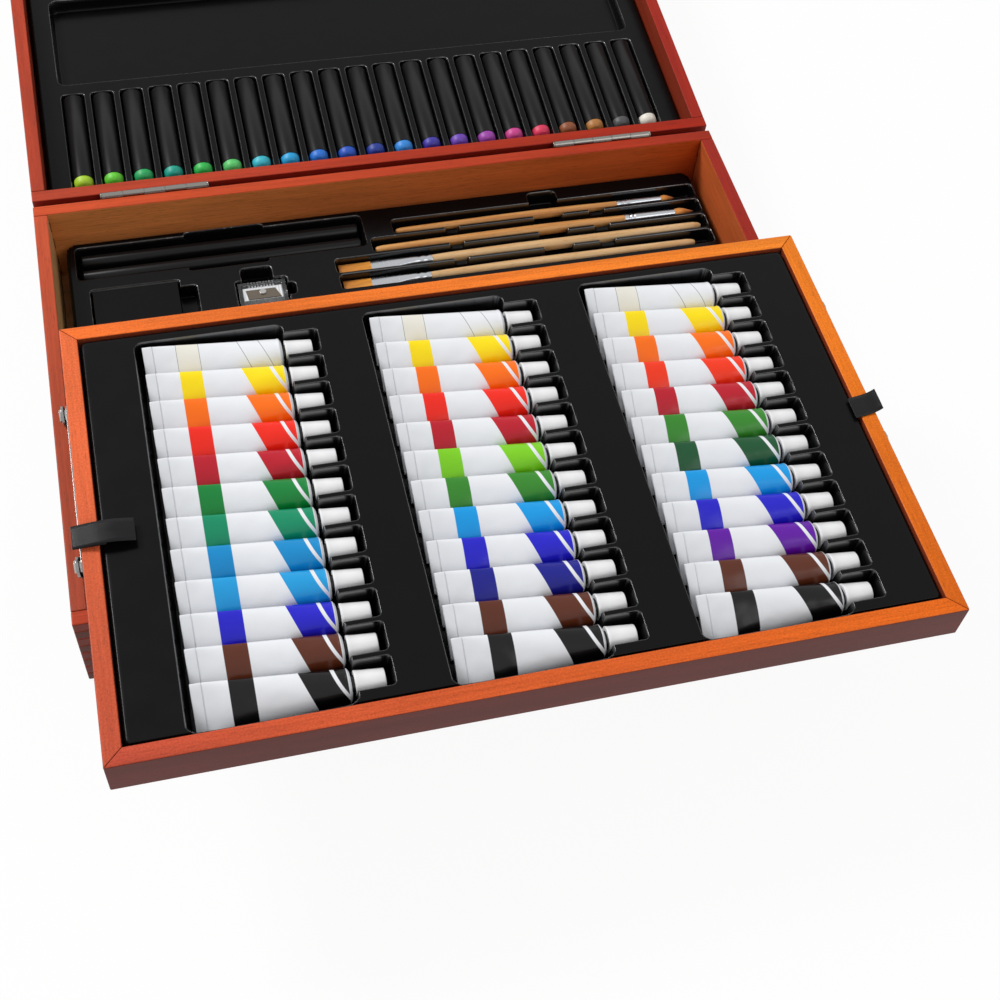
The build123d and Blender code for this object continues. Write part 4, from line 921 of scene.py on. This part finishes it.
chance = random.Random(36)
TUBE_SIDES = 36
SHOULDER = ((63.2, 7.4), (63.5, 7.55), (64.2, 7.55), (64.5, 7.3), (65.3, 6.2), (65.5, 4.2), (67.3, 4.2))
CAP = ((66.9, 4.3), (66.9, 5.9), (67.1, 6.1), (67.9, 6.1), (68.2, 5.95), (73.0, 5.6), (79.5, 5.05),
       (79.8, 4.95), (80.0, 4.7), (79.95, 4.2), (79.5, 4.0), (79.4, 1.5))
for column, (side, paints) in enumerate(COLUMNS):
    caps = []
    for row, paint in enumerate(paints):
        sag = chance.uniform(-0.35, 0.35)
        sections = [(0.0, 11.85, 0.5, TILT, 0, 0, 0.35), (0.25, 12.0, 0.85, TILT, 0, 0, 0.3),
                    (4.5, 12.0, 0.85, TILT, 0, 0, 0.3), (4.8, 11.8, 0.3, TILT, 0, 0, 0.35)]
        for share in (0.0, 0.05, 0.12, 0.22, 0.35, 0.5, 0.65, 0.8, 0.92, 1.0):
            x = 5.3 + share * 57.0
            # The paint swells the tube behind the crimp, and a thumb has pressed it in a little further on
            swell = 1.3 * math.sin(math.pi * min(1.0, share / 0.45)) + sag * math.sin(2 * math.pi * share)
            thick = 0.5 + 7.0 * share + swell - 0.35 * math.sin(math.pi * share)
            sections.append((x, 11.9 + (7.5 - 11.9) * share, thick, TILT, 0, 0,
                             0.35 + 0.65 * min(1.0, share / 0.3)))
        sections += [(x, r, r, TILT) for x, r in SHOULDER]
        points, faces = lofted(sections, TUBE_SIDES)
        turn = Matrix.Rotation(math.radians(chance.uniform(-0.35, 0.35)), 4, "Z")
        at = tray_place @ Matrix.Translation((column_left(column), tube_y(row), TUBE_Z)) @ turn
        tube = make_mesh(f"tube_{side}_{row + 1:02d}_{paint}", points, faces, at, crisp=50)
        printing = tube.data.attributes.new("printing", "FLOAT_VECTOR", "POINT")
        values = []
        for index in range(len(points)):
            angle = 2 * math.pi * (index % TUBE_SIDES) / TUBE_SIDES
            values += [points[index][0], math.cos(angle), math.sin(angle)]
        printing.data.foreach_set("vector", values)
        tube.data.materials.append(enamels[paint])
        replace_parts(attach(tube, "tray"), f"paint_tubes_{side}")
        points, faces = lofted([(x, r, r) for x, r in CAP], 32)
        shift = at @ Matrix.Rotation(chance.uniform(0, 0.2), 4, "X")
        caps.append(([tuple(shift @ Vector(p)) for p in points], faces))
    cap_piece = make_mesh(f"tube_caps_{side}_moulded", *joined(caps), crisp=40)
    cap_piece.data.materials.append(cap_plastic)
    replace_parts(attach(cap_piece, "tray"), f"tube_caps_{side}")

# Two short tabs of black satin ribbon are stapled under the insert's edge, to lift the tray by.
# The left one is folded back over the tray, and the right one lies outwards over the rail.
RIBBON_WIDTH = 12.0
# Polyester satin: the close warp gives it a sheen across, in fine bands
black_satin, tree, shader = new_material(
    "black_satin_ribbon", Base_Color=linear("#0a0a0d"), Roughness=0.34, Anisotropic=0.5,
    Specular_IOR_Level=0.2)
coords = add(tree, "ShaderNodeTexCoord")
weave = add(tree, "ShaderNodeTexWave", {"bands_direction": "Y"}, {
    "Vector": (coords, "Object"), "Scale": 1 / (0.5 * MM) / 3.2, "Distortion": 0.3, "Detail": 1.0})
bump = add(tree, "ShaderNodeBump", None, {"Height": (weave, 0), "Strength": 0.35, "Distance": 0.12 * MM})
tree.links.new(bump.outputs[0], shader.inputs["Normal"])


def ribbon(name, route, y, skew, mirror):
    """A strip that follows a route of (x, z) points, smoothed, with a slant given by its skew."""
    smooth = []
    for i in range(len(route) - 1):
        before, a, b, after = (Vector(route[max(0, min(len(route) - 1, i + k))]) for k in (-1, 0, 1, 2))
        for step in range(6):
            t = step / 6
            spot = 0.5 * (2 * a + (b - before) * t + (2 * before - 5 * a + 4 * b - after) * t * t
                          + (3 * a - before - 3 * b + after) * t ** 3)
            smooth.append(spot)
    smooth.append(Vector(route[-1]))
    points = []
    for i, spot in enumerate(smooth):
        share = i / (len(smooth) - 1)
        for k in range(7):
            across = (k / 6 - 0.5) * RIBBON_WIDTH
            lift = 0.12 * math.cos(math.pi * (k / 6 - 0.5))
            points.append((mirror * spot.x, y + across + skew * share, spot.y + lift))
    faces = [(i * 7 + k, (i + 1) * 7 + k, (i + 1) * 7 + k + 1, i * 7 + k + 1)
             for i in range(len(smooth) - 1) for k in range(6)]
    length = sum((b - a).length for a, b in zip(smooth, smooth[1:]))
    piece = make_mesh(name, points, faces, tray_place, crisp=180)
    thick = piece.modifiers.new("cloth", "SOLIDIFY")
    thick.thickness = 0.35 * MM
    thick.offset = 0
    piece.data.materials.append(black_satin)
    return piece, length


left_route = ((176.0, 0.35), (184.0, 0.4), (189.6, 0.5), (190.2, 0.85), (189.4, 1.25), (184.0, 2.2),
              (178.0, 3.1), (171.4, 3.2), (163.2, 2.0))
left_pull, left_length = ribbon("ribbon_pull_left_satin", left_route, -5.0, -1.5, -1)
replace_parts(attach(left_pull, "tray"), "ribbon_pull_left")
right_route = ((176.0, 0.35), (180.0, 0.45), (184.0, 0.6), (187.5, 1.3), (190.2, 2.5))
right_pull, right_length = ribbon("ribbon_pull_right_satin", right_route, 0.0, 2.0, 1)
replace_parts(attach(right_pull, "tray"), "ribbon_pull_right")

# Two pairs of punched steel arms carry the tray, turning on shouldered rivets.
# Their brackets are screwed inside the base's end walls, and strips on the tray hold the upper rivets.
arm_steel = bright_steel("bright_steel_arms", "#8f8e8c", 1)
for part in ("base_bracket", "tray_strip", "rear_arm", "front_arm"):
    for side in ("left", "right"):
        dress(f"{part}_{side}", arm_steel, 0.15)
for name in ("base_pivot_rivets", "tray_pivot_rivets"):
    dress(name, plated_steel, 0.15)

# Two small latches hold the box shut: a plate and a hinged tongue on the lid, a stud on the base.
# They are stamped and plated steel, each held by two small nails.
for name in ("clasp_keepers", "clasp_plates", "clasp_pins", "clasp_tongue_left", "clasp_tongue_right"):
    dress(name, plated_steel, 0.15)
nail_spots = [side * 110.0 + offset for side in (-1, 1) for offset in (-8.5, 8.5)]
screw_heads("clasp_nails_base", [((x, -BOX_DEPTH / 2 - 0.8, BASE_HEIGHT - 15.5), (0, -1, 0), 0.9)
                                 for x in nail_spots], still, "base")
screw_heads("clasp_nails_lid", [((x, BOX_DEPTH / 2 + 0.8, 14.5), (0, 1, 0), 0.9) for x in nail_spots],
            lid_place, "lid")

# The object stands on a plain white table, in an even white room.
# The floor keeps only a faint shadow for the camera, so that the picture's ground stays white.


def seen_white(tree):
    """Whether a ray comes from the camera, also by way of glass or a glossy surface."""
    ray = add(tree, "ShaderNodeLightPath")
    direct = add(tree, "ShaderNodeMath", {"operation": "MAXIMUM"}, {
        0: (ray, "Is Camera Ray"), 1: (ray, "Is Transmission Ray")})
    return add(tree, "ShaderNodeMath", {"operation": "MAXIMUM"}, {0: (direct, 0), 1: (ray, "Is Glossy Ray")})


floor_mesh = bpy.data.meshes.new("floor")
floor_mesh.from_pydata([(-6, -6, 0), (6, -6, 0), (6, 6, 0), (-6, 6, 0)], [], [(0, 1, 2, 3)])
floor_piece = bpy.data.objects.new("floor", floor_mesh)
bpy.context.scene.collection.objects.link(floor_piece)
table_white = bpy.data.materials.new("white_table")
table_white.use_nodes = True
tree = table_white.node_tree
tree.nodes.clear()
matt = add(tree, "ShaderNodeBsdfDiffuse", None, {"Color": linear("#f2f2f2")})
glow = add(tree, "ShaderNodeEmission", None, {"Color": (1, 1, 1, 1), "Strength": 1.0})
share = add(tree, "ShaderNodeMath", TIMES, {0: (seen_white(tree), 0), 1: 0.93})
mixed = add(tree, "ShaderNodeMixShader", None, {0: (share, 0), 1: (matt, 0), 2: (glow, 0)})
add(tree, "ShaderNodeOutputMaterial", None, {0: (mixed, 0)})
floor_mesh.materials.append(table_white)

world = bpy.data.worlds.new("white_room")
bpy.context.scene.world = world
world.use_nodes = True
tree = world.node_tree
tree.nodes.clear()
strength = add(tree, "ShaderNodeMapRange", None, {
    "Value": (seen_white(tree), 0), "To Min": 0.5, "To Max": 1.0})
room = add(tree, "ShaderNodeBackground", None, {"Color": (1, 1, 1, 1), "Strength": (strength, 0)})
add(tree, "ShaderNodeOutputWorld", None, {0: (room, 0)})


def soft_lamp(name, place, target, size, watts):
    """A large soft lamp at a place in metres, turned to its target."""
    data = bpy.data.lights.new(name, "AREA")
    data.shape = "SQUARE"
    data.size = size
    data.energy = watts
    lamp = bpy.data.objects.new(name, data)
    lamp.location = place
    lamp.rotation_euler = (Vector(target) - Vector(place)).to_track_quat("-Z", "Y").to_euler()
    bpy.context.scene.collection.objects.link(lamp)


soft_lamp("window", (-1.4, 1.1, 1.8), (0, 0, 0.05), 0.7, 42)
soft_lamp("fill", (1.2, -1.5, 1.7), (0, 0, 0.05), 1.6, 13)

camera_data = bpy.data.cameras.new("camera")
camera_data.sensor_width = 36.0
camera_data.lens = 54.60
camera = bpy.data.objects.new("camera", camera_data)
camera.matrix_world = Matrix((
    (0.96986, 0.15374, -0.18901, -132.06 * MM),
    (-0.23395, 0.80434, -0.54617, -517.33 * MM),
    (0.06806, 0.57393, 0.81607, 666.58 * MM),
    (0, 0, 0, 1)))
bpy.context.scene.collection.objects.link(camera)
bpy.context.scene.camera = camera
bpy.context.scene.view_settings.view_transform = "Standard"
